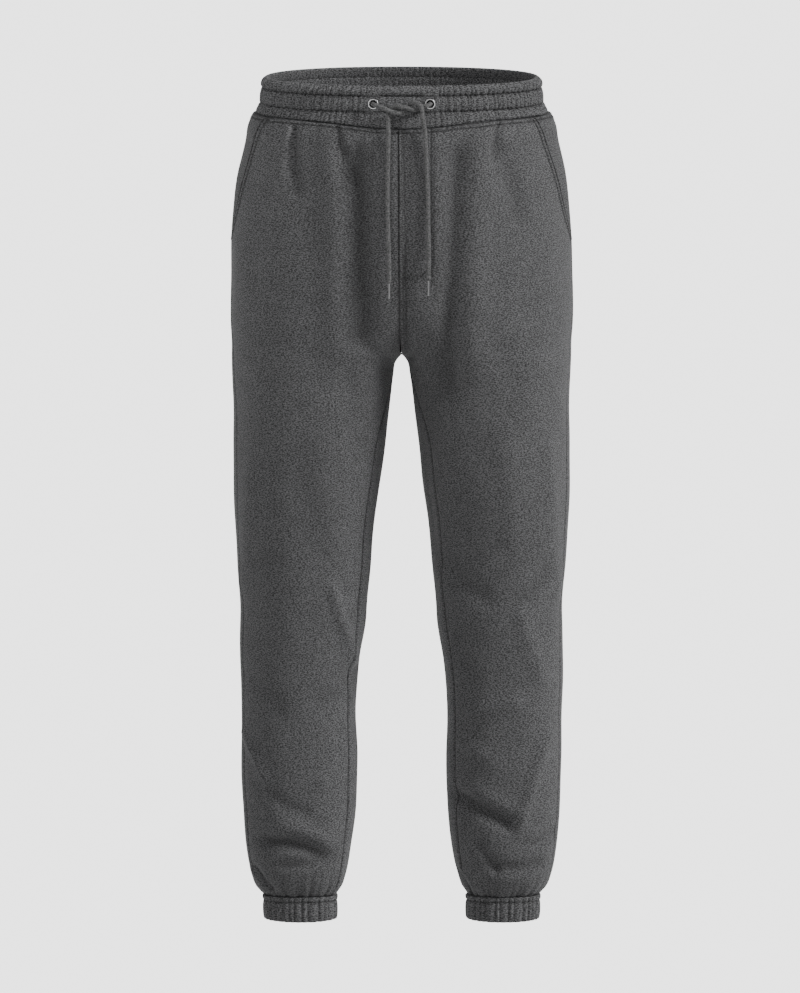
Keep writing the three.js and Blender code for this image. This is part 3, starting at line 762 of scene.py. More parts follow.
def loft_faces(loops, size, closed_round):
    """Quads over a stack of loops. An open stack gets end faces between each loop's halves."""
    faces = [ring_quads(loops, size, closed_round)]
    if not closed_round:
        half = np.arange(size // 2 - 1)
        top = (loops - 1) * size
        other = size - 1 - half
        faces.append(np.column_stack([half + 1, half, other, other - 1]))
        faces.append(np.column_stack([top + half, top + half + 1, top + other - 1, top + other]))
    return np.concatenate(faces)


def facing_out(points, faces):
    """The same quads, turned round where they bound a negative volume."""
    a, b, c, d = (points[faces[:, k]] for k in range(4))
    volume = np.einsum("ij,ij->", a, np.cross(b, c)) + np.einsum("ij,ij->", a, np.cross(c, d))
    return faces[:, ::-1] if volume < 0 else faces


def grid_normals(grid, outward):
    """Unit normals of a grid of points, on the side that outward points to."""
    normal = np.cross(np.gradient(grid, axis=0), np.gradient(grid, axis=1))
    normal /= np.maximum(np.linalg.norm(normal, axis=-1, keepdims=True), 1e-9)
    return normal * np.sign(np.einsum("ijk,ijk->ij", normal, outward))[..., None]


# columns, share of the width that is crowded at each edge, and how many times as dense they are there
FRONT_COLUMNS = (112, 0.055, 3.6, 0.2, 2.3)
BACK_COLUMNS = (88, 0.05, 2.6, 0.05, 2.6)
FACING_COLUMNS = (24, 0.3, 1.5, 0.3, 1.5)
# height, step between rows there, how much more it is far away, and how far that is
ROW_STEPS = ((PANEL_TOP, 0.8, 3.1, 40), (CUFF_SEAM, 1.5, 2.4, 60), (CROTCH, 1.6, 2.3, 50))
CROWD_FADE = 0.05
LEG_MIDDLE = 60  # a place inside each leg, which its outer face turns away from
GRAIN_APART = 40  # keeps the grain of the left side from repeating on the right
FAR = 1e6


def crowded_columns(count, first, first_dense, last, last_dense):
    """Shares of a panel's width, closer together at its two edges."""
    fine = np.linspace(0, 1, 2001)
    dense = 1 + (first_dense - 1) * (1 - smooth((fine - first) / CROWD_FADE))
    dense = dense + (last_dense - 1) * (1 - smooth((1 - fine - last) / CROWD_FADE))
    walked = np.concatenate([[0], np.cumsum((dense[1:] + dense[:-1]) / 2)])
    return np.interp(np.linspace(0, walked[-1], count + 1), walked, fine)


def panel_heights():
    """Rows of the panels, closer together at the seams and past the crotch."""
    heights = [PANEL_TOP]
    while heights[-1] > CUFF_SEAM:
        h = heights[-1]
        steps = (least + more * smooth(abs(h - place) / reach) for place, least, more, reach in ROW_STEPS)
        heights.append(h - min(steps))
    heights = np.array(heights)
    return PANEL_TOP + (heights - PANEL_TOP) * (CUFF_SEAM - PANEL_TOP) / (heights[-1] - PANEL_TOP)


class Panel:
    """A cloth panel between two seams: a thin shell, and places on it for the sewing."""

    def __init__(self, side, heights, crowding, edges, edge_relief, sink=None, lap=None):
        self.side = side
        self.lap = lap
        self.heights = heights
        u = crowded_columns(*crowding)
        start, spread, end = (np.asarray(e)[:, None] for e in edges(heights))
        angle = start + (spread - start) * u + (end - spread) * u**SPREAD_POWER
        height = np.repeat(heights[:, None], len(u), axis=1)
        plain = section_point(height, angle, 0)
        steps = np.linalg.norm(np.diff(plain, axis=1), axis=-1)
        self.from_start = np.concatenate([np.zeros((len(heights), 1)), np.cumsum(steps, 1)], 1)
        self.from_end = self.from_start[:, -1:] - self.from_start
        x = side * np.maximum(plain[..., 0], 0)
        folds = fold_rise(x, height, np.sin(angle))
        gathers = seam_gathers(side, height, angle, PANEL_TOP - height)
        relief, painted_line_shade = edge_relief(self, x, plain[..., 2], height)
        self.rise = folds + ripple(plain * (side, 1, 1)) + gathers + relief
        # Painted shade: darker in fold troughs and gather valleys, and along the seam and stitch grooves
        painted_shade = 1 + FOLD_SHADE * np.minimum(folds, 0) + GATHER_SHADE * np.minimum(gathers, 0)
        self.painted_shade = np.maximum(painted_shade * (1 - LINE_SHADE * np.clip(painted_line_shade, 0, 1)), DEEPEST_SHADE)
        sunk = 0 if sink is None else sink(height, angle)
        self.outer = self.face(height, angle, sunk)
        self.inner = self.face(height, angle, sunk + CLOTH)
        self.normal = grid_normals(self.outer, plain * (side, 1, 0) - (side * LEG_MIDDLE, 0, 0))
        self.cloth = np.stack([self.from_start, height, GRAIN_APART * side + 0 * height], axis=-1)

    def face(self, height, angle, inset):
        point = section_point(height, angle, inset - self.rise)
        turned = smooth((WALL_TURNS - height) / (WALL_TURNS - CROTCH))
        lap = SEAM_LAP + (0 if self.lap is None else self.lap(height))
        point[..., 0] = self.side * np.maximum(point[..., 0], turned * inset - lap)
        return point

    def piece(self, name, material):
        loops = np.concatenate([self.outer, self.inner[:, ::-1]], axis=1)
        cloth = np.concatenate([self.cloth, self.cloth[:, ::-1]], axis=1)
        painted_shade = np.concatenate([self.painted_shade, self.painted_shade[:, ::-1]], axis=1)
        return cloth_shell(name, loops, cloth, painted_shade, material, False)

    def along(self, heights, distance, from_end=False):
        """Points and normals at a distance from the start or end edge, down the given heights."""
        table = self.from_end if from_end else self.from_start
        points, normals = [], []
        for h in heights:
            row = int(np.argmin(abs(self.heights - h)))
            order = np.argsort(table[row])
            for grid, out in ((self.outer, points), (self.normal, normals)):
                values = [np.interp(distance, table[row][order], grid[row, order, k]) for k in range(3)]
                out.append(values)
        return np.array(points), np.array(normals)

    def across(self, height):
        """Points and normals along a whole row."""
        row = int(np.argmin(abs(self.heights - height)))
        return self.outer[row], self.normal[row]

    def at_front(self, x, z):
        """Point and normal of the front at x and z."""
        seen = np.where(self.normal[..., 1] < 0, 0, FAR)
        away = np.hypot(self.outer[..., 0] - x, self.outer[..., 2] - z) + seen
        row, column = np.unravel_index(np.argmin(away), away.shape)
        point = self.outer[row, column].copy()
        normal = self.normal[row, column]
        shift = np.array([x - point[0], 0, z - point[2]])
        shift[1] = -(shift[0] * normal[0] + shift[2] * normal[2]) / normal[1]
        return point + shift, normal


# Seams and stitched rows: depths, half widths, and how dark the painted shade in their grooves and at their
# edges is
SEAM_DEPTH = 1.5
SEAM_WIDTH = 2.0
SEAM_DARK = 0.8
SEAM_LINE = 1.4
PUCKER = 0.3
PUCKER_PITCH = 9.0
PUCKER_DRIFT = 31
PUCKER_WIDTH = 6
ROW_WIDTH = 1.1
ROW_LINE = 0.9
WAIST_SEAM_DEPTH = 1.9
WAIST_SEAM_DARK = 1.1
WAIST_SEAM_LINE = 1.2
WAIST_ROW_DEPTH = 1.0
WAIST_ROW_DARK = 0.9
ANKLE_SEAM_DEPTH = 0.3
ANKLE_SEAM_WIDTH = 1.6
TOP_SWELL = 3.2  # brings the cloth flush with the waistband at its seam
TOP_SWELL_LENGTH = 12.0
RIM_REACH = 10  # the doubled cloth at the pocket's and the centre's edge ends about here
POCKET_RIM = 1.3
POCKET_RIM_FADE = 3.5
POCKET_ROW_DEPTH = 1.5
POCKET_ROW_DARK = 0.75
CENTRE_RIM = 1.5
CENTRE_RIM_FADE = 5
CENTRE_ROW_DEPTH = 1.1
CENTRE_ROW_DARK = 0.6
CENTRE_EDGE_DARK = 1.2
CENTRE_EDGE_LINE = 1.2
LAP_SHADOW_WIDTH = 2.2


def seam_relief(distance, along):
    """Cloth turns in at a seam and puckers beside it."""
    pucker = PUCKER * np.sin(2 * math.pi * along / PUCKER_PITCH + np.sin(along / PUCKER_DRIFT))
    return pucker * bell(distance, PUCKER_WIDTH) - SEAM_DEPTH * bell(distance, SEAM_WIDTH)


# Painted shade in a seam's groove
def seam_shade(distance):
    return SEAM_DARK * bell(distance, SEAM_LINE)


def row_relief(distance, rows, depth):
    return -depth * sum(bell(distance - row, ROW_WIDTH) for row in rows)


# Painted shade in the grooves of stitched rows
def row_shade(distance, rows, dark):
    return dark * sum(bell(distance - row, ROW_LINE) for row in rows)


def body_seams(height):
    """Rise at the waist seam, its stitched row and the seam at the cuff, and painted shade along the waist
    seam and its row.
    """
    top = PANEL_TOP - height
    bottom = height - CUFF_SEAM
    rise = TOP_SWELL * (1 - smooth(top / TOP_SWELL_LENGTH)) - WAIST_SEAM_DEPTH * bell(top, ROW_WIDTH)
    rise += row_relief(top, (WAIST_ROW,), WAIST_ROW_DEPTH)
    rise -= ANKLE_SEAM_DEPTH * bell(bottom, ANKLE_SEAM_WIDTH)
    painted_line_shade = WAIST_SEAM_DARK * bell(top, WAIST_SEAM_LINE) + row_shade(top, (WAIST_ROW,), WAIST_ROW_DARK)
    return rise, painted_line_shade


def front_relief(panel, x, z, height):
    rise, painted_line_shade = body_seams(height)
    from_start, from_end = panel.from_start, panel.from_end
    opening = POCKET_RIM * smooth((RIM_REACH - from_start) / POCKET_RIM_FADE)
    opening += row_relief(from_start, POCKET_ROWS, POCKET_ROW_DEPTH)
    # Painted shade in the pocket's stitch grooves and along its edge
    opening_shade = row_shade(from_start, POCKET_ROWS, POCKET_ROW_DARK) + bell(from_start, ROW_LINE)
    pocket = height > POCKET_END
    rise += np.where(pocket, opening, seam_relief(from_start, height))
    painted_line_shade += np.where(pocket, opening_shade, seam_shade(from_start))
    if panel.side == RIGHT:
        rise += seam_relief(from_end, height)
        # Painted shadow that the left front's lapped edge casts on the right front
        painted_line_shade += bell(from_end - front_lap(height), LAP_SHADOW_WIDTH)
        return rise, painted_line_shade
    centre = CENTRE_RIM * smooth((RIM_REACH - from_end) / CENTRE_RIM_FADE)
    centre += row_relief(from_end, CENTRE_ROWS, CENTRE_ROW_DEPTH)
    centre_shade = row_shade(from_end, CENTRE_ROWS, CENTRE_ROW_DARK)
    # Painted shade along the left front's lapped edge
    centre_shade += CENTRE_EDGE_DARK * bell(from_end, CENTRE_EDGE_LINE)
    above = height > CROTCH
    fly_rise, fly_shade = fly_relief(x, z)
    rise += np.where(above, centre, seam_relief(from_end, height)) + fly_rise
    painted_line_shade += np.where(above, centre_shade, seam_shade(from_end)) + fly_shade
    return rise, painted_line_shade


FLY_TOP = PANEL_TOP - 10
FLY_INNER_END = 7  # where its stitching ends, beside the centre
FLY_CORNER = 26.0
FLY_RISE = 0.5
FLY_FADE = 3
FLY_REACH = 12  # further off, the distance to the stitching needn't be known
FLY_LINE_WIDTH = 1.0
FLY_LINE_DEPTH = 1.3
FLY_LINE_DARK = 0.85


def fly_outline(count=60):
    """Centre line of the fly's outer row: down, round the corner and in to the centre."""
    down = np.linspace(FLY_TOP, FLY_END + FLY_CORNER, count // 2)
    turn = np.linspace(0, math.pi / 2, count // 3)[1:]
    flat = np.linspace(FLY_WIDTH - FLY_CORNER, FLY_INNER_END, 6)[1:]
    points = [(FLY_WIDTH, z) for z in down]
    for t in turn:
        x = FLY_WIDTH - FLY_CORNER * (1 - math.cos(t))
        z = FLY_END + FLY_CORNER * (1 - math.sin(t))
        points.append((x, z))
    points += [(x, FLY_END) for x in flat]
    return np.array(points)


def fly_relief(x, z):
    """Rise and painted shade of the fly: the doubled cloth behind its stitching lifts it a little, and its
    stitched grooves are painted darker.
    """
    line = fly_outline()
    near = (x < FLY_WIDTH + FLY_REACH) & (z > FLY_END - FLY_REACH)
    away = np.full(x.shape, FAR)
    spots = np.column_stack([x[near], z[near]])
    if len(spots):
        away[near] = np.sqrt(((spots[:, None, :] - line[None]) ** 2).sum(-1)).min(1)
    within = smooth((FLY_WIDTH - x) / FLY_FADE) * smooth((z - FLY_END) / FLY_FADE)
    rows = bell(away, FLY_LINE_WIDTH) + within * bell(away - FLY_ROWS[1], FLY_LINE_WIDTH)
    return FLY_RISE * within - FLY_LINE_DEPTH * rows, FLY_LINE_DARK * rows


def back_relief(panel, x, z, height):
    rise, painted_line_shade = body_seams(height)
    rise += seam_relief(panel.from_start, height) + seam_relief(panel.from_end, height)
    painted_line_shade += seam_shade(panel.from_start) + seam_shade(panel.from_end)
    return rise, painted_line_shade


FACING_SEAM_LINE = 1.6
FACING_TUCK_LINE = 4.5
# Painted shade over the whole facing, which lies in the shadow of the pocket's edge
FACING_SHADE = 0.15


def facing_relief(panel, x, z, height):
    rise, painted_line_shade = body_seams(height)
    rise += seam_relief(panel.from_start, height)
    # Painted shade at the side seam, along the tuck under the front's edge, and over the whole facing
    tuck = bell(panel.from_end - FACING_TUCK, FACING_TUCK_LINE)
    painted_line_shade += bell(panel.from_start, FACING_SEAM_LINE) + tuck + FACING_SHADE
    return rise, painted_line_shade


def facing_sink(height, angle):
    width = pocket_edge_at(height) - side_seam_at(height)
    narrow = 1 - smooth(width * front_at(height) / FACING_NARROW)
    way = (angle - side_seam_at(height)) / np.maximum(width, SEAM_GAP / 2 / front_at(height))
    return FACING_SINK * np.maximum(narrow, smooth(way * 1.2))


# Gathered rings
BAND_INNER_ROWS = 8  # rows of the band's inner face in each channel
BAND_RIM_STEPS = 9
BAND_RIM_OVER = 0.9
BAND_LOW_START = 4
BAND_SEAM_WIDTH = 1.4
BAND_PINCH_WIDTH = 3.0
BAND_OPEN_WAVE = 0.6  # share of the gathers' height between the stitched rows
BAND_PINCH_WAVE = 0.5
BAND_ROW_WIDTH = 1.2
BAND_RIPPLE = 0.5
BAND_CALM = 0.7  # the gathers are lower between and beside the eyelets
BAND_CALM_EDGE = 8
BAND_CALM_FADE = 10
BAND_INNER_PUFF = 0.9
BAND_INNER_WAVE = 0.45
BAND_SEED = 31
BAND_INNER_SEED = 61
HOLE_OVER = 0.4
CUFF_GROOVE = 0.7
CUFF_HEAD_PUFF = 1.3
CUFF_BAND_PUFF = 2.1
CUFF_BAND_ROUND = 0.35
CUFF_HEAD_WAVE = 0.7  # the gathers' height in the stitched head, as a share of the band's
CUFF_WAVE_FADE = 5
CUFF_SAG_FADE = 22
CUFF_FOLD = 1.2
CUFF_INNER_WAVE = 0.4
CUFF_ROW_WIDTH = 1.3
CUFF_HEAD_ROWS = 8
CUFF_BAND_ROWS = 18
CUFF_INNER_ROWS = 10
CUFF_SEEDS = {LEFT: 71, RIGHT: 81}


def crowded_heights(top, bottom, rows):
    """Heights from top to bottom, closer together at both."""
    return top + (bottom - top) * (1 - np.cos(np.linspace(0, math.pi, rows + 1))) / 2


def even_angles(count, height):
    """Angles that cut a section into stretches of equal length, and its length."""
    fine = np.linspace(0, 2 * math.pi, 40 * count + 1)
    points = section_point(height, fine, 0)
    walked = walked_along(points)
    wanted = walked[-1] * np.arange(count) / count
    return np.interp(wanted, walked, fine), walked[-1]


def gather_wave(share, count, seed, uneven=0.4):
    """Rounded ridges with pinched valleys, uneven in width and height, from -1 to 1."""
    draw = np.random.default_rng(seed)
    edges = (np.arange(count) + draw.uniform(-uneven, uneven, count)) / count
    edges = np.concatenate([edges - 1, edges, edges + 1])
    tall = np.tile(draw.uniform(0.55, 1.0, count), 3)
    k = np.searchsorted(edges, share, side="right") - 1
    t = (share - edges[k]) / (edges[k + 1] - edges[k])
    return tall[k] * (2 * np.sin(math.pi * t) ** 0.8 - 1)


def puff(height, top, bottom, power=0.5):
    t = np.clip((top - height) / (top - bottom), 0, 1)
    return np.sin(math.pi * t) ** power


def band_heights(rows):
    """Heights from the rim to the seam, closer together at the stitched rows."""
    heights = []
    for top, bottom in CHANNELS:
        heights += list(crowded_heights(top, bottom, rows)[:-1])
    return np.array(heights + [CHANNELS[-1][1]])


def eyelet_near(across, height, reach):
    """1 on the flat cloth round an eyelet, 0 away from it."""
    return 1 - smooth(np.hypot(across - EYELET_X - 1, height - EYELET_HEIGHT) / reach - 1)


def gathered_ring(name, ring, loops, painted_shade, material):
    around = np.broadcast_to(ring.share * ring.length, loops.shape[:2])
    cloth = np.stack([around, loops[..., 2], 0 * around], axis=-1)
    return cloth_shell(name, loops, cloth, painted_shade, material, True)


class Band:
    """The waistband: outer and inner face over height and share of the way round."""

    columns = 1080
    rows = 11

    def __init__(self):
        angles, self.length = even_angles(self.columns, EYELET_HEIGHT)
        self.angles = angles[:, None]
        self.share = np.arange(self.columns)[:, None] / self.columns

    def waves(self, height, seed):
        wave = np.zeros(np.broadcast(self.share, height).shape)
        for k, (top, bottom) in enumerate(CHANNELS):
            inside = (height <= top) & (height >= bottom)
            ridges = gather_wave(self.share[:, 0], BAND_GATHERS, seed + k)[:, None]
            wave = np.where(inside, ridges, wave)
        return wave

    def lift(self, height):
        """How far the outer face stands out; also keeps its painted shade, darker in the gather valleys, the
        stitched rows and the eyelet's hole.
        """
        total = BAND_GROOVE + sum(BAND_PUFF * puff(height, *channel) for channel in CHANNELS[:2])
        lowest = smooth((CHANNELS[2][0] - height) / BAND_LOW_START)
        total = total + BAND_LOW_PUFF * lowest - BAND_SEAM_DEPTH * bell(height - WAIST_SEAM, BAND_SEAM_WIDTH)
        pinch = sum(bell(height - row, BAND_PINCH_WIDTH) for row in BAND_ROWS)
        point = section_point(height, self.angles, 0)
        across = abs(point[..., 0])
        front = point[..., 1] < 0
        near = np.where(front, eyelet_near(across, height, EYELET_FLAT), 0)
        calm = np.where(front, smooth((EYELET_X + BAND_CALM_EDGE - across) / BAND_CALM_FADE), 0)
        strength = (BAND_OPEN_WAVE + BAND_PINCH_WAVE * pinch) * (1 - BAND_CALM * calm)
        wave = BAND_WAVE * strength * self.waves(height, BAND_SEED)
        flat = BAND_GROOVE + BAND_PUFF
        plain = total + wave + BAND_RIPPLE * ripple(point)
        away = np.where(front, np.hypot(across - EYELET_X, height - EYELET_HEIGHT), EYELET_FLAT)
        hole = 1 - smooth((away - HOLE_FLAT) / (EYELET_HOLE + HOLE_OVER - HOLE_FLAT))
        rows = sum(bell(height - row, BAND_ROW_WIDTH) for row in (*BAND_ROWS, WAIST_SEAM))
        # Painted shade: darker in the gather valleys, at the stitched rows and the seam, and darkest in the
        # eyelet's hole
        self.painted_shade = 1 + BAND_VALLEY_SHADE * np.minimum(wave, 0) - BAND_ROW_SHADE * rows
        self.painted_shade = np.clip(self.painted_shade, DEEPEST_SHADE, 1) * (1 - HOLE_SHADE * hole)
        return plain + (flat - plain) * near - HOLE_DEPTH * hole

    def face(self, height):
        return section_point(height, self.angles, -self.lift(height))

    def inner(self, height):
        total = BAND_INNER + BAND_INNER_PUFF * sum(puff(height, *channel) for channel in CHANNELS)
        total = total + BAND_INNER_WAVE * self.waves(height, BAND_INNER_SEED)
        return section_point(height, self.angles, total)

    def piece(self, material):
        outside = band_heights(self.rows)
        rim = np.linspace(0, math.pi, BAND_RIM_STEPS)[1:-1]
        outer = self.face(outside[None, :])
        # The outer face's painted shade; the inner face and the rim stay unshaded
        shown = self.painted_shade
        inner = self.inner(band_heights(BAND_INNER_ROWS)[None, ::-1])
        first, last = outer[:, :1], inner[:, -1:]
        middle, half = (first + last) / 2, (first - last) / 2
        over = middle + half * -np.cos(rim)[None, :, None]
        over[..., 2] += (RIM_HEIGHT - CHANNELS[0][0] + BAND_RIM_OVER) * np.sin(rim)
        loops = np.concatenate([outer, inner, over], axis=1)
        painted_shade = np.ones(loops.shape[:2])
        painted_shade[:, : outer.shape[1]] = shown
        return gathered_ring("waistband", self, loops, painted_shade, material)

    def row(self, height, inner=False):
        here = np.array([[height]])
        points = (self.inner if inner else self.face)(here)[:, 0]
        outward = section_point(height, self.angles[:, 0], -1) - section_point(height, self.angles[:, 0], 0)
        return points, outward * (-1 if inner else 1)


class Cuff:
    """A cuff: a stitched head and a gathered band, folded at its lower edge."""

    columns = 340

    def __init__(self, side):
        self.side = side
        angles, self.length = even_angles(self.columns, CUFF_BAND[0])
        self.angles = angles[:, None]
        self.share = np.arange(self.columns)[:, None] / self.columns
        self.wave = gather_wave(self.share[:, 0], CUFF_GATHERS, CUFF_SEEDS[side])[:, None]

    def lift(self, height):
        total = CUFF_GROOVE + CUFF_HEAD_PUFF * puff(height, *CUFF_HEAD)
        total = total + CUFF_BAND_PUFF * puff(height, *CUFF_BAND, CUFF_BAND_ROUND)
        below = smooth((CUFF_BAND[0] - height) / CUFF_WAVE_FADE)
        strength = CUFF_HEAD_WAVE + (1 - CUFF_HEAD_WAVE) * below
        return total + CUFF_WAVE * strength * self.wave

    def mirrored(self, point):
        return point * (self.side, 1, 1)

    def face(self, height):
        point = section_point(height, self.angles, -self.lift(height))
        front = np.maximum(np.sin(self.angles), 0) ** 2
        point[..., 2] -= CUFF_SAG * front * smooth((CUFF_BAND[0] - height) / CUFF_SAG_FADE)
        return self.mirrored(point)

    def piece(self, name, material):
        head = crowded_heights(*CUFF_HEAD, CUFF_HEAD_ROWS)[:-1]
        outside = np.concatenate([head, crowded_heights(*CUFF_BAND, CUFF_BAND_ROWS)])
        outer = self.face(outside[None, :])
        inside = np.linspace(CUFF_BAND[1] + CUFF_FOLD, CUFF_HEAD[0], CUFF_INNER_ROWS)
        depth = CUFF_INNER - CUFF_INNER_WAVE * self.wave
        inner = self.mirrored(section_point(inside[None, :], self.angles, depth))
        loops = np.concatenate([outer, inner], axis=1)
        painted_shade = np.ones(loops.shape[:2])
        # Painted shade in the gather valleys and along the seam between head and band
        seams = bell(outside - CUFF_BAND[0], CUFF_ROW_WIDTH)
        shown = 1 + BAND_VALLEY_SHADE * np.minimum(self.wave, 0) - CUFF_ROW_SHADE * seams
        painted_shade[:, : outer.shape[1]] = np.clip(shown, DEEPEST_SHADE, 1)
        return gathered_ring(name, self, loops, painted_shade, material)

    def row(self, height):
        points = self.face(np.array([[height]]))[:, 0]
        inward = section_point(height, self.angles[:, 0], 1) - section_point(height, self.angles[:, 0], 0)
        return points, -self.mirrored(inward)


# Sewing
# Share of a stitch's length, height over the cloth and share of its radius, ring by ring
STITCH_RINGS = ((0, -0.3, 0.3), (0.14, 0.1, 0.9), (0.5, 0.24, 1.0), (0.86, 0.1, 0.9), (1, -0.3, 0.3))


class Sewing:
    """Stitches as short bowed threads, gathered into one mesh."""

    sides = 5

    def __init__(self):
        self.points = []
        self.faces = []
        self.count = 0

    def row(self, points, normals, closed=False, start=0.0):
        """A row of stitches along a line of points."""
        if closed:
            points = np.concatenate([points, points[:1]])
            normals = np.concatenate([normals, normals[:1]])
        walked = walked_along(points)
        count = int((walked[-1] - start) / STITCH_PITCH)
        if count < 1:
            return
        pitch = (walked[-1] - start) / count
        begin = start + pitch * np.arange(count)
        turn = 2 * math.pi * np.arange(self.sides) / self.sides
        stack = []
        for share, over, thick in STITCH_RINGS:
            at = begin + STITCH * share
            centre = places_at(at, walked, points)
            normal = places_at(at, walked, normals)
            normal /= np.linalg.norm(normal, axis=1, keepdims=True)
            along = places_at(at + 0.5, walked, points) - places_at(at - 0.5, walked, points)
            aside = np.cross(normal, along)
            aside /= np.maximum(np.linalg.norm(aside, axis=1, keepdims=True), 1e-9)
            ring = np.cos(turn)[:, None] * aside[:, None] + np.sin(turn)[:, None] * normal[:, None]
            stack.append(centre[:, None] + over * normal[:, None] + THREAD * thick * ring)
        verts = np.stack(stack, axis=1)
        block = verts.shape[1] * self.sides
        quads = ring_quads(len(STITCH_RINGS), self.sides)
        offsets = self.count + block * np.arange(count)
        self.faces += (quads[None] + offsets[:, None, None]).reshape(-1, 4).tolist()
        ends = [list(range(self.sides))[::-1], list(range(block - self.sides, block))]
        for offset in offsets:
            self.faces += [[offset + v for v in end] for end in ends]
        self.points.append(verts.reshape(-1, 3))
        self.count += block * count

    def piece(self, name, material, slot):
        points = np.concatenate(self.points)
        return new_piece(name, points, self.faces, material, cloth=points)


# Drawcord and its metal
def spaced_route(route, count):
    """Points at equal steps along a centripetal spline through the route."""
    p = np.array(route, float) / MM
    p = np.vstack([2 * p[0] - p[1], p, 2 * p[-1] - p[-2]])
    fine = []
    for a, b, c, d in zip(p, p[1:], p[2:], p[3:]):
        knots = np.cumsum([0] + [math.sqrt(np.linalg.norm(v - u)) for u, v in ((a, b), (b, c), (c, d))])
        for t in np.linspace(knots[1], knots[2], 40, endpoint=False):
            def between(u, v, low, high):
                return ((knots[high] - t) * u + (t - knots[low]) * v) / (knots[high] - knots[low])
            ab, bc, cd = between(a, b, 0, 1), between(b, c, 1, 2), between(c, d, 2, 3)
            fine.append(between(between(ab, bc, 0, 2), between(bc, cd, 1, 3), 1, 2))
    fine = np.array(fine + [p[-2]])
    walked = walked_along(fine)
    return places_at(np.linspace(0, walked[-1], count), walked, fine), walked[-1]


def tube_frames(path):
    """Two unit vectors across the path at each point, carried along without twist."""
    ahead = np.gradient(path, axis=0)
    ahead /= np.linalg.norm(ahead, axis=1, keepdims=True)
    across = np.cross(ahead[0], (0, 0, 1.0))
    across /= np.linalg.norm(across)
    first = []
    for t in ahead:
        across = across - t * np.dot(t, across)
        across /= np.linalg.norm(across)
        first.append(across)
    first = np.array(first)
    return first, np.cross(ahead, first)


BRAID_STRANDS = 8
BRAID_LAY = 13.0  # length of one whole turn of a plait
BRAID_RELIEF = 0.5
BRAID_CROSSING = 0.35
CORD_TIP_RADIUS = 1.5
CORD_SIDES = 40
CORD_RINGS = 680
TAPER = 5.0


def braided_cord(name, route, material):
    path, length = spaced_route(route, CORD_RINGS)
    first, second = tube_frames(path)
    s = np.linspace(0, length, CORD_RINGS)[:, None]
    turn = 2 * math.pi * np.arange(CORD_SIDES)[None, :] / CORD_SIDES
    one = BRAID_STRANDS / 2 * (turn + 2 * math.pi * s / BRAID_LAY)
    other = BRAID_STRANDS / 2 * (turn - 2 * math.pi * s / BRAID_LAY)
    under = np.sin(one) * (1 + BRAID_CROSSING * np.sin(other))
    over = np.maximum(under, np.sin(other) * (1 + BRAID_CROSSING * np.sin(one)))
    radius = CORD_DIAMETER / MM / 2
    left = np.clip((length - s) / TAPER, 0, 1)
    width = CORD_TIP_RADIUS + (radius - CORD_TIP_RADIUS) * np.sqrt(1 - (1 - left) ** 2)
    width = width - BRAID_RELIEF * (0.55 - 0.45 * over) * width / radius
    ring = np.cos(turn)[..., None] * first[:, None] + np.sin(turn)[..., None] * second[:, None]
    loops = path[:, None] + width[..., None] * ring
    points = np.concatenate([loops.reshape(-1, 3), path[:1], path[-1:]])
    faces = ring_quads(CORD_RINGS, CORD_SIDES).tolist()
    start, end = CORD_RINGS * CORD_SIDES, CORD_RINGS * CORD_SIDES + 1
    last = (CORD_RINGS - 1) * CORD_SIDES
    faces += [[start, (j + 1) % CORD_SIDES, j] for j in range(CORD_SIDES)]
    faces += [[end, last + j, last + (j + 1) % CORD_SIDES] for j in range(CORD_SIDES)]
    piece = new_piece(name, points, faces, material, name, points)
    return piece


def turned(name, profile, centre, axis, material, sides=64, closed=False):
    """A turned piece: profile rows are radius and place along the axis."""
    axis = np.array(axis, float) / np.linalg.norm(axis)
    aside = np.cross(axis, (0, 0, 1.0) if abs(axis[2]) < 0.9 else (1.0, 0, 0))
    aside /= np.linalg.norm(aside)
    third = np.cross(axis, aside)
    turn = 2 * math.pi * np.arange(sides) / sides
    ring = np.cos(turn)[:, None] * aside + np.sin(turn)[:, None] * third
    profile = np.array(profile, float)
    loops = np.array(centre) + profile[None, :, :1] * ring[:, None] + profile[None, :, 1:] * axis
    size = len(profile)
    points = loops.reshape(-1, 3)
    faces = facing_out(points, ring_quads(sides, size, True, closed)).tolist()
    if not closed:
        ends = [[i * size for i in range(sides)], [i * size + size - 1 for i in range(sides)]]
        up = np.dot(points[ends[0][0]] - points[ends[1][0]], axis) > 0
        faces += [end if (which == 0) == up else end[::-1] for which, end in enumerate(ends)]
    return new_piece(name, points, faces, material, name)


def rounded(corners, radius, steps=5):
    """A closed profile with its corners rounded."""
    corners = np.array(corners, float)
    out = []
    for k, corner in enumerate(corners):
        before = corners[k - 1] - corner
        after = corners[(k + 1) % len(corners)] - corner
        reach = min(radius, 0.45 * np.linalg.norm(before), 0.45 * np.linalg.norm(after))
        a = corner + reach * before / np.linalg.norm(before)
        b = corner + reach * after / np.linalg.norm(after)
        for t in np.linspace(0, 1, steps):
            out.append((1 - t) ** 2 * a + 2 * t * (1 - t) * corner + t**2 * b)
    return np.array(out)


EYELET_OUT = -5.0  # the eyelets stand on the face of the puffed cloth
EYELET_SLOPE = (8.6, 1.2)  # heights between which the cloth's slope is taken


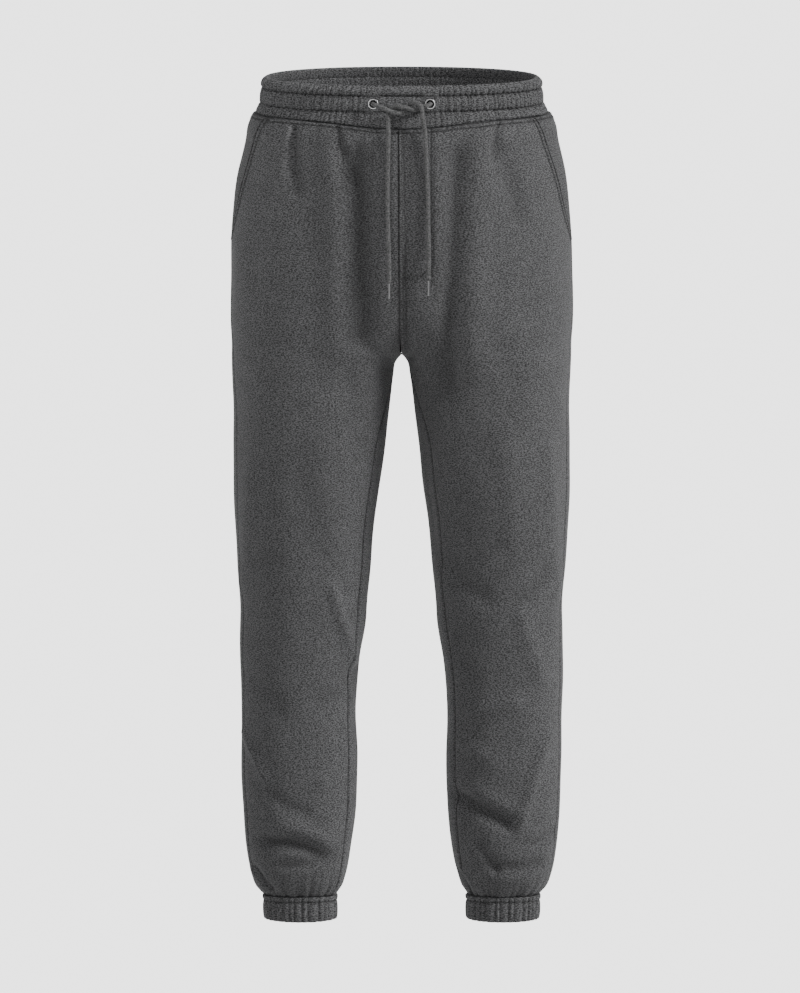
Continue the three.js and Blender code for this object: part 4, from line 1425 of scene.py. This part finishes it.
def make_eyelet(name, side, material):
    angle = math.acos((EYELET_X / float(outer_at(EYELET_HEIGHT))) ** (OUTER_EXPONENT / 2))
    here, around = (section_point(EYELET_HEIGHT, angle + step, EYELET_OUT) for step in (0, 0.01))
    above, below = (section_point(height, angle, EYELET_OUT) for height in EYELET_SLOPE)
    up = above - below
    out = np.cross(around - here, up)
    out *= -np.sign(out[1]) / np.linalg.norm(out)
    mirror = np.array((side, 1, 1))
    inner_side = ((4.25, -3.0), (4.6, -3.0), (4.6, 0.0))
    outer_side = ((6.1, 0.0), (6.3, 0.5), (5.8, 1.15), (5.1, 1.15), (4.25, 0.4))
    profile = rounded(inner_side + outer_side, 0.4)
    profile[:, 1] += EYELET_SEAT
    return turned(name, profile, here * mirror, out * mirror, material, closed=True)


def make_aglet(name, route, material):
    top = np.array(route[-1]) / MM - (0, 0, AGLET_GAP)
    long = AGLET_LENGTH
    profile = (
        (0.7, 0.0), (1.2, 0.0), (1.5, -0.1), (AGLET_COLLAR - 0.1, -0.3), (AGLET_COLLAR, -0.6),
        (AGLET_COLLAR - 0.1, -1.0), (AGLET_RADIUS + 0.05, -1.3), (AGLET_RADIUS, -1.7),
        (AGLET_RADIUS, -long * 0.5), (AGLET_RADIUS, 0.8 - long), (AGLET_RADIUS - 0.08, 0.35 - long),
        (AGLET_RADIUS - 0.35, 0.05 - long), (AGLET_RADIUS - 0.7, -long),
    )
    return turned(name, profile, top, (0, 0, 1.0), material, sides=32)


# Putting it together
make_camera()
make_stage()
FLEECE = fleece_material("heather_fleece", 0.088, 0.75)
BAND_FLEECE = fleece_material("heather_band", 0.088, 0.75)
CORD = cord_material("braided_cord", 0.075)
THREAD_LOOK = cord_material("sewing_thread", 0.03)
METAL = metal_material("satin_nickel", 0.45, 0.3)
TIP_METAL = metal_material("dull_nickel", 0.11, 0.42)

for name, side, route in (("right", RIGHT, RIGHT_CORD), ("left", LEFT, LEFT_CORD)):
    tip = make_aglet(f"aglet_{name}", route, TIP_METAL)
    braided_cord(f"drawcord_{name}", route, CORD)
    make_eyelet(f"eyelet_{name}", side, METAL)

HEIGHTS = panel_heights()
sewing = Sewing()
panels = {}
for name, side in SIDES:
    if side == LEFT:
        front = Panel(side, HEIGHTS, FRONT_COLUMNS, lapped_front_edges, front_relief, lap=front_lap)
    else:
        front = Panel(side, HEIGHTS, FRONT_COLUMNS, front_edges, front_relief)
    back = Panel(side, HEIGHTS, BACK_COLUMNS, back_edges, back_relief)
    facing_rows = HEIGHTS[HEIGHTS >= POCKET_END]
    facing = Panel(side, facing_rows, FACING_COLUMNS, facing_edges, facing_relief, facing_sink)
    panels[name] = (front, back, facing)
    for panel, piece_name, flat, area in (
        (front, f"front_{name}", (0.315, 0.97), 0.19),
        (back, f"back_{name}", (0.415, 0.985), 0.305),
        (facing, f"pocket_facing_{name}", (0.066, 0.162), 0.0076),
    ):
        piece = panel.piece(piece_name, FLEECE)
    for distance in POCKET_ROWS:
        rows = HEIGHTS[(HEIGHTS < PANEL_TOP - 4) & (HEIGHTS > POCKET_END + 4)]
        sewing.row(*front.along(rows, distance))
    for panel in (front, back, facing):
        points, normals = panel.across(PANEL_TOP - WAIST_ROW)
        sewing.row(points, normals)

front_left = panels["left"][0]
centre_rows = HEIGHTS[(HEIGHTS < PANEL_TOP - 4) & (HEIGHTS > CROTCH + 6)]
for distance in CENTRE_ROWS:
    sewing.row(*front_left.along(centre_rows, distance, from_end=True))
outline = fly_outline()
for inset in FLY_ROWS:
    shifted = outline + (np.array((-1, 0)) if inset else 0) * inset
    shifted[:, 1] += inset * smooth((FLY_END + 30 - outline[:, 1]) / 30)
    spots = [front_left.at_front(x, z) for x, z in shifted]
    sewing.row(np.array([s[0] for s in spots]), np.array([s[1] for s in spots]))

band = Band()
band_piece = band.piece(BAND_FLEECE)
for height in BAND_ROWS:
    sewing.row(*band.row(height), closed=True)
    sewing.row(*band.row(height, inner=True), closed=True)
for name, side in SIDES:
    cuff = Cuff(side)
    piece = cuff.piece(f"cuff_{name}", BAND_FLEECE)
    sewing.row(*cuff.row(CUFF_BAND[0]), closed=True)
sewing.piece("stitches", THREAD_LOOK, "cord")
